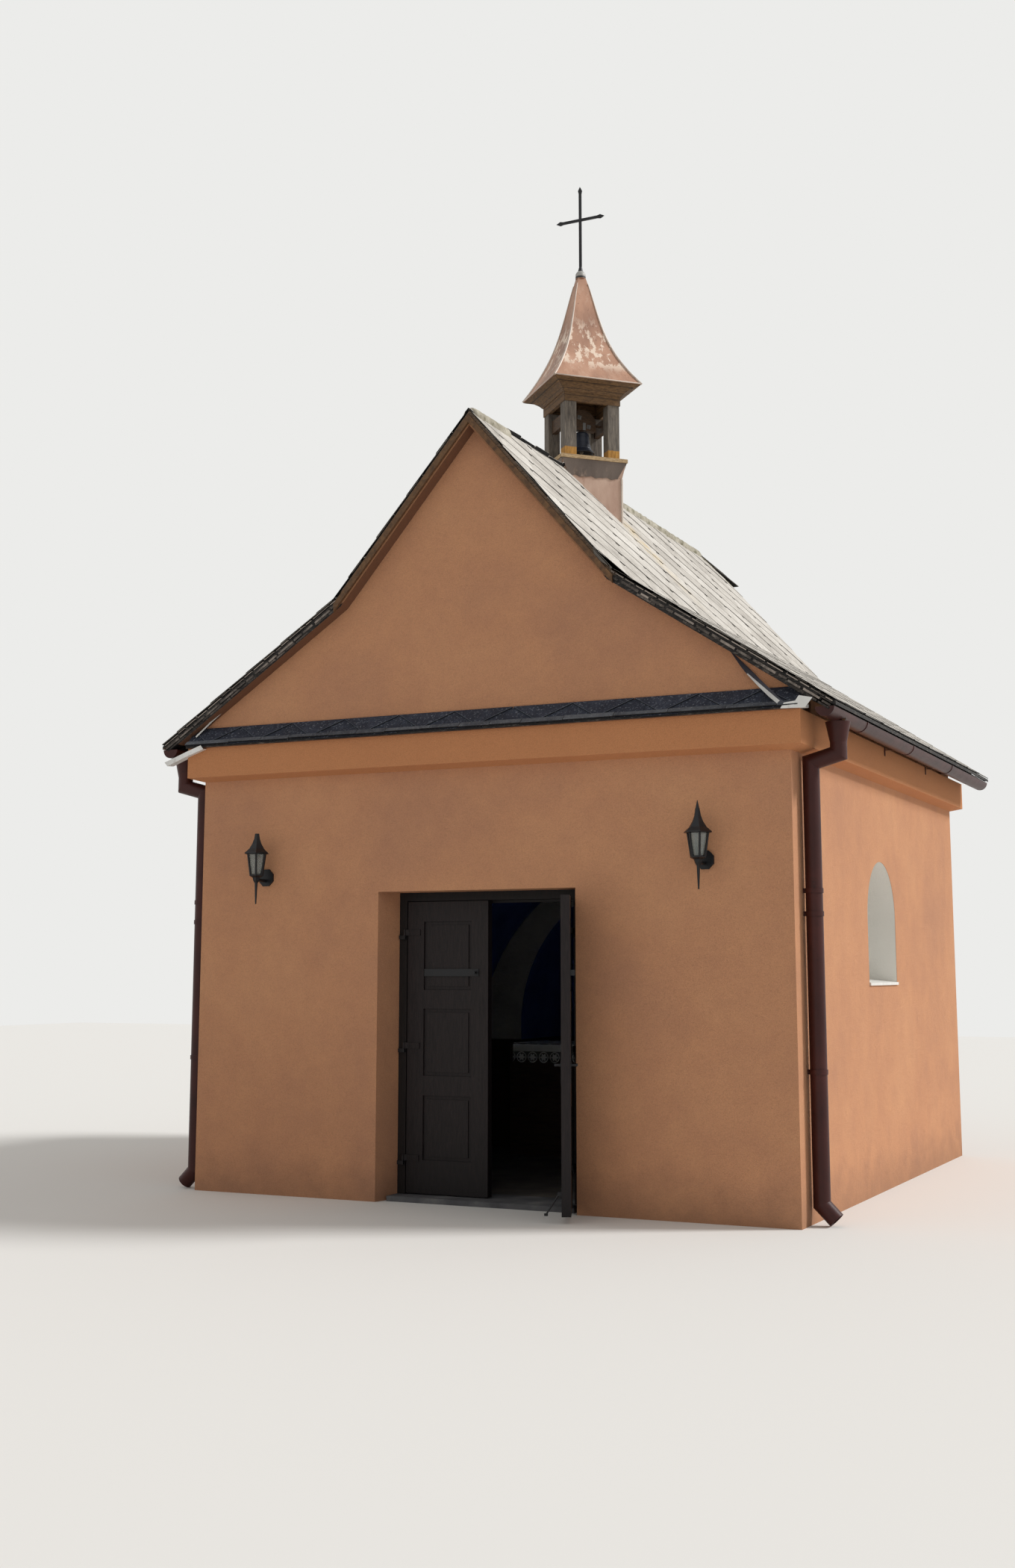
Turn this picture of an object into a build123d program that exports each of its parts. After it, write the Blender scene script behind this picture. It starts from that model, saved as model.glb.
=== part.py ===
from build123d import *
import os
from math import cos, hypot, radians, sin, sqrt, tan

os.makedirs("parts", exist_ok=True)

# Sizes are in millimetres. X runs along the front, Y to the back, Z up. The parts are
# drawn from the middle of the front wall's foot and saved round the middle of the plan.

# Walls
chapel_width = 4480
chapel_depth = 4780
wall_thickness = 480
gable_thickness = 300
wall_height = 3180
cornice_reach = 95
cornice_foot = 2935
cornice_lip = 2962
floor_thickness = 35

# How far a cutting shape runs past what it cuts
past = 10
just_past = 1

# Roof, measured on its upper surface
ridge_height = 5450
kick_out = 1080
kick_height = 4190
eave_reach = 230
eave_rise = 30
roof_thickness = 70
hip_slack = 200
slate_thickness = 22
slate_overhang = 140
verge_reach = 100
hip_length = 300
hip_pitch = 45
ridge_cap_radius = 95
ridge_cap_sink = 50
board_thickness = 22
board_drop = 20
board_width = 38
pent_reach = 30
pent_edge = 14
pent_rise = 130

# Gutters and downpipes
gutter_radius = 62
gutter_wall = 4
gutter_drop = 6
pipe_radius = 54
pipe_wall = 4
pipe_gap = 16
right_pipe_setback = 205
left_pipe_setback = 100
outlet_top_radius = 80
outlet_overlap = 1
funnel_length = 130
neck_length = 70
bend_fall = 50
bend_tail = 126
pipe_foot = 190
shoe_height = 130
shoe_kick = 90
collar_heights = (2040, 1895, 915)
collar_width = 30
clip_width = 20
collar_reach = 5
bracket_first = 730
bracket_spacing = 1350
bracket_width = 25
bracket_thickness = 4
bracket_drop = 16

# Door opening, frame and leaves
opening_half = 750
opening_height = 2098
frame_setback = 220
frame_half = 700
jamb_width = 60
frame_depth = 120
leaf_setback = 5
stop_overlap = 18
door_gap = 5
meeting_gap = 10
leaf_thickness = 60
leaf_foot = 43
threshold_height = 35
threshold_depth = 300
stile_width = 128
panel_levels = ((267, 703), (836, 1293), (1422, 1895))
panel_sink = 14
panel_border = 26
panel_rise = 8
leaf_open_angle = 113

# Hinges
pivot_out = 12
pivot_forward = 15
pin_radius = 6
pin_clearance = 0.05
knuckle_radius = 11
knuckle_height = 40
hinge_levels = (260, 1020, 1800)
hinge_bracket_height = 26
hinge_gap = 1
hinge_arm = 8
web_length = 10
web_width = 6
pin_reach = 2
strap_length = 100
strap_overlap = 2
strap_thickness = 8

# Door fittings
hasp_height = 1542
hasp_width = 50
hasp_length = 425
hasp_thickness = 6
hasp_inset = 75
hasp_eye_inset = 25
hasp_eye_radius = 7
hasp_knob_radius = 12
hasp_knob_length = 6
staple_size = 36
staple_reach = 30
staple_bar = 7
staple_inset = 25
handle_height = 965
handle_inset = 60
handle_neck = 38
handle_length = 110
handle_radius = 8
rose_radius = 22
rose_thickness = 6
handle_plate_half = 18
handle_plate_thickness = 3
handle_plate_below = 120
handle_plate_above = 40
stay_inset = 49
stay_height = 178
stay_rod_radius = 5.4
stay_length = 150
stay_lean = 33
stay_foot_radius = 12
stay_foot_length = 14
stay_leg_start = 6
stay_eye_radius = 11
stay_pin_radius = 4
stay_offset = 16
stay_cheek = 6
stay_gap = 1
stay_plate_half = 30
stay_plate_thickness = 4
stay_cheek_reach = 8
stay_cheek_half = 12

# Lanterns
lantern_spots = (("left", -1680, 2217), ("right", 1660, 2255))
lantern_reach = 135
lantern_roof_height = 148
lantern_finial_height = 62
lantern_glass_height = 144
lantern_glass_top = 70
lantern_glass_bottom = 46
lantern_glass_wall = 3
lantern_glass_rise = 18
lantern_glass_gap = 0.3
lantern_bar = 14
lantern_turn = 0
lantern_bar_inset = 1.5
lantern_roof_profile = ((0, 74), (4, 97), (12, 91.18), (38, 60.14), (75, 36.86), (110, 23.28))
lantern_roof_tip = 16.49
lantern_cup_profile = ((-60, 14), (-42, 24), (-22, 30), (-10, 54), (0, 52))
lantern_spike_radii = (5, 11)
lantern_spike_overlap = 2
lantern_spike_length = 150
lantern_plate_size = 120
lantern_plate_thickness = 14
lantern_plate_corner = 25.2
lantern_arm_radius = 11
lantern_arm_drop = 22
lantern_knob_height = 8
lantern_knob_radius = 15
lantern_tip_radii = (13, 2)

# Side windows
window_middle = 2224
window_width = 830
window_foot = 1450
window_springing = 1935
window_setback = 250
window_frame_width = 50
window_frame_depth = 46
window_bar = 28
window_rebate = 8
pane_thickness = 6
sill_thickness = 45
sill_reach = 12
sill_nose = 20

# Vault, arch and altar
vault_radius = 1700
vault_centre = 850
vault_top = 2790
arch_front = 3450
arch_radius = 1290
arch_centre = 1090
altar_half = 1130
altar_front = 2900
altar_height = 950
cloth_half = 1025
cloth_thickness = 5
cloth_drop = 160
cloth_gap = 0.3
altar_gap = 1

# Bell turret, set corner to the front
turret_middle = 1885
turret_turn = 45
base_half = 245
base_wall = 25
base_sink = 60
apron_height = 120
apron_foot = 3
apron_lip = 272
sill_rise = 130
sill_board = 30
sill_half = 283
post_outer = 233
post_size = 98
post_height = 450
rail_rise = 282
rail_height = 106
rail_thickness = 40
head_half = 240
head_height = 75
head_wall = 30
soffit_height = 80
soffit_step = 6
soffit_profile = ((0.3, 26), (0.65, 62))
soffit_edge = 8
ceiling_thickness = 15
eave_half = 370
spire_height = 975
spire_wall = 12
spire_profile = ((270, 160), (180, 360), (120, 570))
spire_tip_half = 32
spire_tip_least = 4
collar_radius = 42
collar_height = 70
collar_overlap = 2
cross_height = 730
cross_arms_rise = 441
cross_reach = 213
cross_bar = 22
cross_thickness = 12
cross_end = 34
cross_point = 34
cross_swell = 60
socket_overlap = 6
socket_height = 34
socket_tip_radius = 12.1

# Bell
bell_axis_rise = 340
bell_lip_radius = 103
bell_top_radius = 46
bell_height = 175
bell_drop = 70
bell_wall = 9
bell_crown_thicker = 6
yoke_half = 112
yoke_rise = 120
yoke_fall = 52
yoke_thickness = 60
gudgeon_radius = 9
hanger_radius = 18
clapper_radius = 16
clapper_rod = 5
clapper_rise = 19
clapper_hang = 13
clapper_pin = 3
clapper_eye = 8
clapper_leg = 6
clapper_gap = 1

# Worked out from the sizes above
half_width = chapel_width / 2
inner_half = half_width - wall_thickness
inner_back = chapel_depth - wall_thickness
eave_out = half_width + cornice_reach + eave_reach
eave_height = wall_height + eave_rise
upper_slope = (ridge_height - kick_height) / kick_out
lower_slope = (kick_height - eave_height) / (eave_out - kick_out)
upper_drop = roof_thickness * hypot(1, upper_slope)
lower_drop = roof_thickness * hypot(1, lower_slope)
ridge_under = ridge_height - upper_drop
kick_line = kick_height + lower_slope * kick_out - lower_drop
under_kick = (ridge_under - kick_line) / (upper_slope - lower_slope)
verge_front = -verge_reach
verge_back = chapel_depth + verge_reach
plate_edge = eave_out - slate_overhang
hip_start = verge_back - hip_length
sill_top = ridge_height + sill_rise
head_foot = sill_top + post_height
frieze_top = head_foot + head_height
spire_foot = frieze_top + soffit_height
spire_top = spire_foot + spire_height
cross_foot = spire_top + collar_height
bell_axis = sill_top + bell_axis_rise
bell_crown = bell_axis - bell_drop
bell_ceiling = bell_crown - bell_wall - bell_crown_thicker
clapper_axis = bell_ceiling - clapper_hang
gutter_top = eave_height - slate_thickness - gutter_drop
gutter_middle = plate_edge + gutter_radius + gutter_drop
funnel_top = gutter_top - gutter_radius + outlet_overlap
funnel_foot = funnel_top - funnel_length
elbow_top = funnel_foot - neck_length
elbow_bottom = elbow_top - bend_fall
pipe_head = elbow_bottom - bend_tail
pipe_x = half_width + pipe_gap + pipe_radius
leaf_top = opening_height - jamb_width - door_gap
leaf_near = meeting_gap / 2
leaf_far = frame_half - jamb_width - door_gap
leaf_front = frame_setback + leaf_setback
leaf_back = leaf_front + leaf_thickness
square_corner = sqrt(2)
turret = Plane((0, turret_middle, 0), x_dir=(cos(radians(turret_turn)), sin(radians(turret_turn)), 0))


def roof_top(x):
    x = abs(x)
    if x < kick_out:
        return ridge_height - upper_slope * x
    return kick_height - lower_slope * (x - kick_out)


def roof_under(x):
    x = abs(x)
    if x < under_kick:
        return ridge_under - upper_slope * x
    return kick_line - lower_slope * x


def block(x0, x1, y0, y1, z0, z1):
    low = (min(x0, x1), min(y0, y1), min(z0, z1))
    return Pos(*low) * Box(abs(x1 - x0), abs(y1 - y0), abs(z1 - z0), align=(Align.MIN,) * 3)


def prism(points, step):
    outline = Wire.make_polygon([Vector(*p) for p in points], close=True)
    return Part() + Solid.extrude(Face(outline), Vector(*step))


def along_y(points, y0, y1):
    return prism([(x, y0, z) for x, z in points], (0, y1 - y0, 0))


def along_x(points, x0, x1):
    return prism([(x0, y, z) for y, z in points], (x1 - x0, 0, 0))


def rod(start, end, radius):
    start, end = Vector(*start), Vector(*end)
    way = end - start
    return Part() + Solid.make_cylinder(radius, way.length, Plane(start, z_dir=way))


def cone(start, end, radius_0, radius_1):
    start, end = Vector(*start), Vector(*end)
    way = end - start
    return Part() + Solid.make_cone(radius_0, radius_1, way.length, Plane(start, z_dir=way))


def stack(sides, levels, x, y, turn):
    """closed solid with flat sides through (height, corner radius) levels"""
    wires = []
    for height, radius in levels:
        corners = []
        for i in range(sides):
            angle = radians(turn + 360 * i / sides)
            corners.append(Vector(x + radius * cos(angle), y + radius * sin(angle), height))
        wires.append(Wire.make_polygon(corners, close=True))
    return Part() + Solid.make_loft(wires, ruled=True)


def mirrored(shape):
    return mirror(shape, Plane.YZ)


def joined(shapes):
    whole = shapes[0]
    for shape in shapes[1:]:
        whole = whole + shape
    return whole


def save(shape, name):
    export_step(Pos(0, -chapel_depth / 2, 0) * shape, f"parts/{name}.step")


# Roof


def roof_outline():
    """right half of the roof's section"""
    tongue = roof_top(plate_edge) - slate_thickness
    return [
        (0, ridge_height),
        (kick_out, kick_height),
        (eave_out, eave_height),
        (eave_out, eave_height - slate_thickness),
        (plate_edge, tongue),
        (plate_edge, roof_under(plate_edge)),
        (under_kick, roof_under(under_kick)),
        (0, roof_under(0)),
    ]


def above_hip(sink):
    """everything above the small back hip, lowered by sink"""
    top = ridge_height - sink
    run = hip_length + hip_slack
    rise = run * tan(radians(hip_pitch))
    points = [
        (hip_start, top),
        (hip_start + run, top - rise),
        (hip_start + run, ridge_height + hip_slack),
        (hip_start, ridge_height + hip_slack),
    ]
    return along_x(points, -half_width, half_width)


def roof_half():
    return along_y(roof_outline(), verge_front, verge_back) - above_hip(0)


def inside_roof(y0, y1, foot, reach=half_width):
    """space under the roof, above the level foot"""
    points = [
        (-reach, foot),
        (reach, foot),
        (reach, roof_under(reach)),
        (under_kick, roof_under(under_kick)),
        (0, roof_under(0)),
        (-under_kick, roof_under(under_kick)),
        (-reach, roof_under(reach)),
    ]
    return along_y(points, y0, y1)


def over_roof():
    """space filled by the roof and everything under it"""
    points = [
        (-eave_out, 0),
        (eave_out, 0),
        (eave_out, eave_height),
        (kick_out, kick_height),
        (0, ridge_height),
        (-kick_out, kick_height),
        (-eave_out, eave_height),
    ]
    return along_y(points, verge_front - verge_reach, verge_back + verge_reach)


def roof_hip():
    plate = roof_thickness / cos(radians(hip_pitch))
    under = above_hip(plate) - above_hip(0)
    triangle = [
        (0, roof_under(0)),
        (hip_length, roof_under(hip_length)),
        (hip_length, wall_height),
        (-hip_length, wall_height),
        (-hip_length, roof_under(hip_length)),
    ]
    return under & along_y(triangle, hip_start - roof_thickness, verge_back)


def ridge_cap():
    middle = ridge_height - ridge_cap_sink
    return rod((0, verge_front, middle), (0, hip_start, middle), ridge_cap_radius) - over_roof()


def barge_boards(y0, y1):
    """a pair of boards over the ends of the steep part of the roof"""
    grade = hypot(1, upper_slope)
    top, low = board_drop * grade, (board_drop + board_width) * grade
    points = [
        (0, ridge_height - top),
        (kick_out, kick_height - top),
        (kick_out, kick_height - low),
        (0, ridge_height - low),
        (-kick_out, kick_height - low),
        (-kick_out, kick_height - top),
    ]
    return along_y(points, y0, y1)


def pent_roof():
    """narrow slated shelf on the front cornice, cut off under the roof"""
    out = cornice_reach + pent_reach
    points = [
        (0, wall_height),
        (-out, wall_height),
        (-out, wall_height + pent_edge),
        (0, wall_height + pent_edge + pent_rise),
    ]
    reach = half_width + cornice_reach
    return along_x(points, -reach, reach) & inside_roof(-out, 0, wall_height, reach)


# Walls


def front_wall_right():
    """between the door opening and the corner, with a splayed reveal"""
    points = [
        (opening_half, 0),
        (half_width, 0),
        (half_width, wall_thickness),
        (frame_half, wall_thickness),
        (frame_half, frame_setback),
    ]
    return prism([(x, y, 0) for x, y in points], (0, 0, opening_height))


def front_wall_over_door():
    return block(-half_width, half_width, 0, wall_thickness, opening_height, wall_height)


def front_gable():
    return inside_roof(0, gable_thickness, wall_height)


def back_wall():
    return block(-half_width, half_width, inner_back, chapel_depth, 0, wall_height)


def back_gable():
    plate = roof_thickness / cos(radians(hip_pitch))
    whole = inside_roof(chapel_depth - gable_thickness, chapel_depth, wall_height)
    return whole - above_hip(plate)


def window_space(x0, x1, grow=0):
    """arched opening along X, drawn in by -grow or widened by grow"""
    half = window_width / 2 + grow
    square = block(x0, x1, window_middle - half, window_middle + half, window_foot - grow, window_springing)
    round_top = rod((x0, window_middle, window_springing), (x1, window_middle, window_springing), half)
    return square + round_top


def right_wall():
    points = [
        (inner_half, 0),
        (half_width, 0),
        (half_width, roof_under(half_width)),
        (inner_half, roof_under(inner_half)),
    ]
    wall = along_y(points, wall_thickness, inner_back)
    return wall - window_space(inner_half - past, half_width + past)


def cornice_ring():
    """moulded band round the head of the walls, with a sloping underside"""
    wires = []
    for level, reach in ((cornice_foot, 0), (cornice_lip, cornice_reach)):
        side, back = half_width + reach, chapel_depth + reach
        corners = ((-side, -reach), (side, -reach), (side, back), (-side, back))
        wires.append(Wire.make_polygon([Vector(x, y, level) for x, y in corners], close=True))
    flare = Part() + Solid.make_loft(wires, ruled=True)
    band = block(-side, side, -cornice_reach, back, cornice_lip, wall_height)
    core = block(-half_width, half_width, 0, chapel_depth, cornice_foot - past, wall_height + past)
    return flare + band - core


def cornice_part(side):
    reach = half_width + cornice_reach + past
    top = wall_height + past
    if side == "front":
        keep = block(-reach, reach, -cornice_reach - past, 0, 0, top)
    elif side == "back":
        keep = block(-reach, reach, chapel_depth, chapel_depth + cornice_reach + past, 0, top)
    else:
        keep = block(half_width, reach, 0, chapel_depth, 0, top)
    return cornice_ring() & keep


def window_frame():
    """arched frame with an upright and two cross bars"""
    x1 = half_width - window_setback
    x0 = x1 - window_frame_depth
    ring = window_space(x0, x1) - window_space(x0 - past, x1 + past, -window_frame_width)
    head = window_springing + window_width / 2 - window_frame_width / 2
    foot = window_foot + window_frame_width / 2
    half = window_width / 2 - window_frame_width / 2
    bar = window_bar / 2
    upright = block(x0, x1, window_middle - bar, window_middle + bar, foot, head)
    frame = ring + upright
    for level in (window_springing, (window_foot + window_springing) / 2):
        frame = frame + block(x0, x1, window_middle - half, window_middle + half, level - bar, level + bar)
    return frame - window_pane()


def window_pane():
    middle = half_width - window_setback - window_frame_depth / 2
    half = pane_thickness / 2
    return window_space(middle - half, middle + half, window_rebate - window_frame_width)


def window_sill():
    """sloping sill as wide as the opening, with a thin nose before the wall"""
    half = window_width / 2
    nose = half_width + sill_reach
    points = [
        (half_width - window_setback, window_foot),
        (half_width - window_setback, window_foot + sill_thickness),
        (nose, window_foot + sill_nose),
        (nose, window_foot),
    ]
    return along_y(points, window_middle - half, window_middle + half)


# Vault, chancel arch and altar


def vault_right():
    """right half of the barrel vault with its filled haunch and the window's recess"""
    haunch = block(0, inner_half, wall_thickness, arch_front, vault_centre, vault_top)
    y0, y1 = wall_thickness - past, arch_front + past
    barrel = rod((0, y0, vault_centre), (0, y1, vault_centre), vault_radius)
    return haunch - barrel - window_space(-past, inner_half + past)


def chancel_arch():
    whole = block(-inner_half, inner_half, arch_front, inner_back, floor_thickness, vault_top)
    y0, y1 = arch_front - past, inner_back + past
    niche = rod((0, y0, arch_centre), (0, y1, arch_centre), arch_radius)
    passage = block(-arch_radius, arch_radius, y0, y1, 0, arch_centre)
    return whole - niche - passage


def altar():
    return block(-altar_half, altar_half, altar_front, arch_front - altar_gap, floor_thickness, altar_height)


def altar_cloth():
    """laid over the altar's top, with a drop at the front"""
    t, gap = cloth_thickness, cloth_gap
    low, top = altar_height - cloth_drop, altar_height + gap
    front, back = altar_front - gap, arch_front - altar_gap
    points = [
        (back, top),
        (back, top + t),
        (front - t, top + t),
        (front - t, low),
        (front, low),
        (front, top),
    ]
    return along_x(points, -cloth_half, cloth_half)


# Gutters and downpipes


def gutter(outlet_setback):
    """half-round trough with closed ends, an outlet hole and straps to the cornice"""
    x, z = gutter_middle, gutter_top
    y0, y1 = verge_front, verge_back
    trough = rod((x, y0, z), (x, y1, z), gutter_radius)
    count = int((chapel_depth - 2 * bracket_first) // bracket_spacing) + 1
    wall = half_width + cornice_reach
    for i in range(count):
        near = bracket_first + i * bracket_spacing - bracket_width / 2
        far = near + bracket_width
        band = rod((x, near, z), (x, far, z), gutter_radius + bracket_thickness)
        arm_top = z - bracket_drop
        arm = block(wall, x - gutter_radius + just_past, near, far, arm_top - bracket_thickness, arm_top)
        plate = block(wall, wall + bracket_thickness, near, far, z - gutter_radius, z)
        trough = trough + band + arm + plate
    trough = trough - rod((x, y0 + gutter_wall, z), (x, y1 - gutter_wall, z), gutter_radius - gutter_wall)
    above = 2 * gutter_radius
    trough = trough - block(x - above, x + above, y0 - just_past, y1 + just_past, z, z + above)
    return trough - rod((x, outlet_setback, z - above), (x, outlet_setback, z), pipe_radius - pipe_wall)


def tube(route, radius):
    """round bar along straight runs with mitred corners"""
    path = Polyline(*route)
    section = Plane(path @ 0, z_dir=path % 0) * Circle(radius)
    return sweep(section, path, transition=Transition.RIGHT)


def pipe_bend(setback):
    """tapered outlet under the gutter with the offset bend back to the wall"""
    x0, x1, y = gutter_middle, pipe_x, setback
    join, top = (x0, y, funnel_foot), (x0, y, funnel_top)
    route = [join, (x0, y, elbow_top), (x1, y, elbow_bottom), (x1, y, pipe_head)]
    bore = pipe_radius - pipe_wall
    outer = tube(route, pipe_radius) + cone(join, top, pipe_radius, outlet_top_radius)
    inner = tube(route, bore) + cone(join, top, bore, outlet_top_radius - pipe_wall)
    trough = rod((x0, verge_front, gutter_top), (x0, verge_back, gutter_top), gutter_radius)
    return outer - inner - trough


def pipe_straight(setback):
    """upright pipe with its collars and clips"""
    x, y, clip = pipe_x, setback, clip_width / 2
    pipe = rod((x, y, pipe_foot), (x, y, pipe_head), pipe_radius)
    for level in collar_heights:
        top = level + collar_width
        pipe = pipe + rod((x, y, level), (x, y, top), pipe_radius + collar_reach)
        pipe = pipe + block(half_width, x, y - clip, y + clip, level, top)
    return pipe - rod((x, y, pipe_foot - just_past), (x, y, pipe_head + just_past), pipe_radius - pipe_wall)


def pipe_shoe(setback):
    """short bent end that throws the water clear of the wall"""
    x, y = pipe_x, setback
    route = [(x, y, pipe_foot), (x, y, shoe_height), (x + shoe_kick, y, shoe_height - shoe_kick)]
    return tube(route, pipe_radius) - tube(route, pipe_radius - pipe_wall)


# Door


def pivot(side):
    return side * (frame_half - jamb_width + pivot_out), frame_setback - pivot_forward


def door_frame():
    y0, y1 = frame_setback, frame_setback + frame_depth
    outer = block(-frame_half, frame_half, y0, y1, threshold_height, opening_height)
    inner_edge = frame_half - jamb_width
    clear = block(-inner_edge, inner_edge, y0 - past, y1 + past, 0, opening_height - jamb_width)
    frame = outer - clear
    stop_front = leaf_back + door_gap
    stops = block(-inner_edge, inner_edge, stop_front, y1, threshold_height, opening_height - jamb_width)
    stop_edge = inner_edge - stop_overlap
    stop_top = opening_height - jamb_width - stop_overlap
    stops = stops - block(-stop_edge, stop_edge, 0, y1 + past, 0, stop_top)
    return frame + stops


def plain_leaf():
    """right leaf, shut, with three sunk panels on both faces, each with a raised field"""
    x0, x1 = leaf_near, leaf_far
    leaf = block(x0, x1, leaf_front, leaf_back, leaf_foot, leaf_top)
    for low, high in panel_levels:
        for face, inward in ((leaf_front, 1), (leaf_back, -1)):
            sunk = block(x0 + stile_width, x1 - stile_width, face, face + inward * panel_sink, low, high)
            edge = stile_width + panel_border
            field = block(
                x0 + edge,
                x1 - edge,
                face + inward * (panel_sink - panel_rise),
                face + inward * panel_sink,
                low + panel_border,
                high - panel_border,
            )
            leaf = leaf - sunk + field
    return leaf


def hinge_half():
    """strap and knuckle fixed to the right leaf, once for each hinge"""
    px, py = pivot(1)
    end, front = leaf_far + strap_overlap, leaf_front - strap_thickness
    shapes = []
    for level in hinge_levels:
        top = level + knuckle_height
        strap = block(leaf_far - strap_length, end, front, leaf_front, level, top)
        corners = (
            (leaf_far - web_length, front),
            (end, front + strap_overlap),
            (px, py + hinge_arm),
            (px - web_width, py - hinge_arm / 2),
        )
        web = prism([(x, y, level) for x, y in corners], (0, 0, knuckle_height))
        knuckle = rod((px, py, level), (px, py, top), knuckle_radius)
        bore = rod((px, py, level - just_past), (px, py, top + just_past), pin_radius + pin_clearance)
        shapes.append(strap + web + knuckle - bore)
    return joined(shapes)


def hinge_pins():
    """brackets on the frame with the pins that the leaves turn on"""
    px, py = pivot(1)
    shapes = []
    for level in hinge_levels:
        low = level - hinge_gap - hinge_bracket_height
        high = level - hinge_gap
        arm = block(px - hinge_arm, frame_half - hinge_arm, py - hinge_arm, frame_setback, low, high)
        pin = rod((px, py, low), (px, py, level + knuckle_height + pin_reach), pin_radius)
        shapes.append(arm + pin)
    right = joined(shapes)
    return right + mirrored(right)


def hasp_bar():
    """flat iron bar over the left leaf, with an eye plate at its end"""
    x1, z, half = -hasp_inset, hasp_height, hasp_width / 2
    bar = block(x1 - hasp_length, x1, leaf_front - hasp_thickness, leaf_front, z - half, z + half)
    x, y = x1 - hasp_eye_inset, leaf_front - staple_reach
    eye = rod((x, y, z), (x, leaf_front, z), hasp_eye_radius)
    knob = rod((x, y - hasp_knob_length, z), (x, y, z), hasp_knob_radius)
    return bar + eye + knob


def staple():
    """square staple on the outside of the right leaf"""
    x0, y0 = leaf_near + staple_inset, leaf_front - staple_reach
    x1, y1 = x0 + staple_size, leaf_front
    low, high = hasp_height - staple_size / 2, hasp_height + staple_size / 2
    bar = staple_bar
    hole = block(x0 + bar, x1 - bar, y0 + bar, y1 - bar, low - just_past, high + just_past)
    return block(x0, x1, y0, y1, low, high) - hole


def handle_side(face, outward):
    """rose, neck and lever on one face of the right leaf"""
    x, z, half = leaf_near + handle_inset, handle_height, handle_plate_half
    tip = face + outward * handle_neck
    rose = rod((x, face, z), (x, face + outward * rose_thickness, z), rose_radius)
    skin = face + outward * handle_plate_thickness
    plate = block(x - half, x + half, face, skin, z - handle_plate_below, z + handle_plate_above)
    neck = rod((x, face, z), (x, tip, z), handle_radius + 1)
    lever = rod((x - rose_radius / 2, tip, z), (x + handle_length, tip, z), handle_radius - 1)
    return rose + plate + neck + lever


def door_handle():
    return handle_side(leaf_front, -1) + handle_side(leaf_back, 1)


def stay_pivot():
    return leaf_near + stay_inset, leaf_back + stay_offset, stay_height


def stay_bracket():
    """two cheeks on the inside of the right leaf that hold the stay's pin"""
    x, y, z = stay_pivot()
    inner = stay_eye_radius / 2 + stay_gap
    outer = inner + stay_cheek
    low, high = z - stay_plate_half, z + stay_plate_half
    bracket = block(x - outer, x + outer, leaf_back, leaf_back + stay_plate_thickness, low, high)
    low, high = z - stay_cheek_half, z + stay_cheek_half
    for side in (-1, 1):
        cheek = block(x + side * inner, x + side * outer, leaf_back, y + stay_cheek_reach, low, high)
        bracket = bracket + cheek
    return bracket + rod((x - outer, y, z), (x + outer, y, z), stay_pin_radius)


def door_stay():
    """rod that props the open leaf, leaning away from its foot"""
    x, y, z = stay_pivot()
    half, foot_half = stay_eye_radius / 2, stay_foot_length / 2
    lean = radians(stay_lean)
    start_y, start_z = y + stay_leg_start * sin(lean), z - stay_leg_start * cos(lean)
    end_y, end_z = y + stay_length * sin(lean), z - stay_length * cos(lean)
    eye = rod((x - half, y, z), (x + half, y, z), stay_eye_radius)
    leg = rod((x, start_y, start_z), (x, end_y, end_z), stay_rod_radius)
    foot = rod((x, end_y, end_z - foot_half), (x, end_y, end_z + foot_half), stay_foot_radius)
    side = half + just_past
    return eye + leg + foot - rod((x - side, y, z), (x + side, y, z), stay_pin_radius + pin_clearance)


def opened(shape, side):
    px, py = pivot(side)
    return shape.rotate(Axis((px, py, 0), (0, 0, 1)), side * leaf_open_angle)


# Lanterns


def lantern_levels(plate_middle):
    """heights of the glass's foot, of the roof's rim and of the roof's tip"""
    foot = plate_middle + lantern_glass_rise
    rim = foot + lantern_glass_height
    return foot, rim, rim + lantern_roof_height


def lantern(x, plate_middle, with_finial):
    """hexagonal wall lantern: bell roof, glazing bars, cup, spike, arm and wall plate"""
    y = -lantern_reach
    foot, rim, tip = lantern_levels(plate_middle)
    roof = [(rim + rise, radius) for rise, radius in lantern_roof_profile] + [(tip, lantern_roof_tip)]
    cup = [(foot + rise, radius) for rise, radius in lantern_cup_profile]
    body = stack(6, roof, x, y, lantern_turn) + stack(6, cup, x, y, lantern_turn)
    for i in range(6):
        angle = radians(lantern_turn + 60 * i)
        low, high = lantern_glass_bottom, lantern_glass_top
        start = (x + low * cos(angle), y + low * sin(angle), foot - lantern_bar / 2)
        end = (x + high * cos(angle), y + high * sin(angle), rim + lantern_bar / 2)
        body = body + rod(start, end, lantern_bar / 2)
    cup_foot = cup[0][0]
    spike = (x, y, cup_foot - lantern_spike_length), (x, y, cup_foot + lantern_spike_overlap)
    arm = plate_middle - lantern_arm_drop
    body = body + cone(*spike, *lantern_spike_radii)
    body = body + rod((x, y, arm), (x, -lantern_plate_thickness / 2, arm), lantern_arm_radius)
    half, cut = lantern_plate_size / 2, lantern_plate_corner
    corner = ((half, cut), (cut, half))
    plate = []
    for a, b in ((1, 1), (-1, 1), (-1, -1), (1, -1)):
        pair = corner if a * b > 0 else corner[::-1]
        plate += [(x + a * across, plate_middle + b * up) for across, up in pair]
    body = body + along_y(plate, -lantern_plate_thickness, 0)
    if with_finial:
        knob = tip + lantern_knob_height
        body = body + rod((x, y, tip - just_past), (x, y, knob), lantern_knob_radius)
        body = body + cone((x, y, knob), (x, y, tip + lantern_finial_height), *lantern_tip_radii)
    return body


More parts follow.
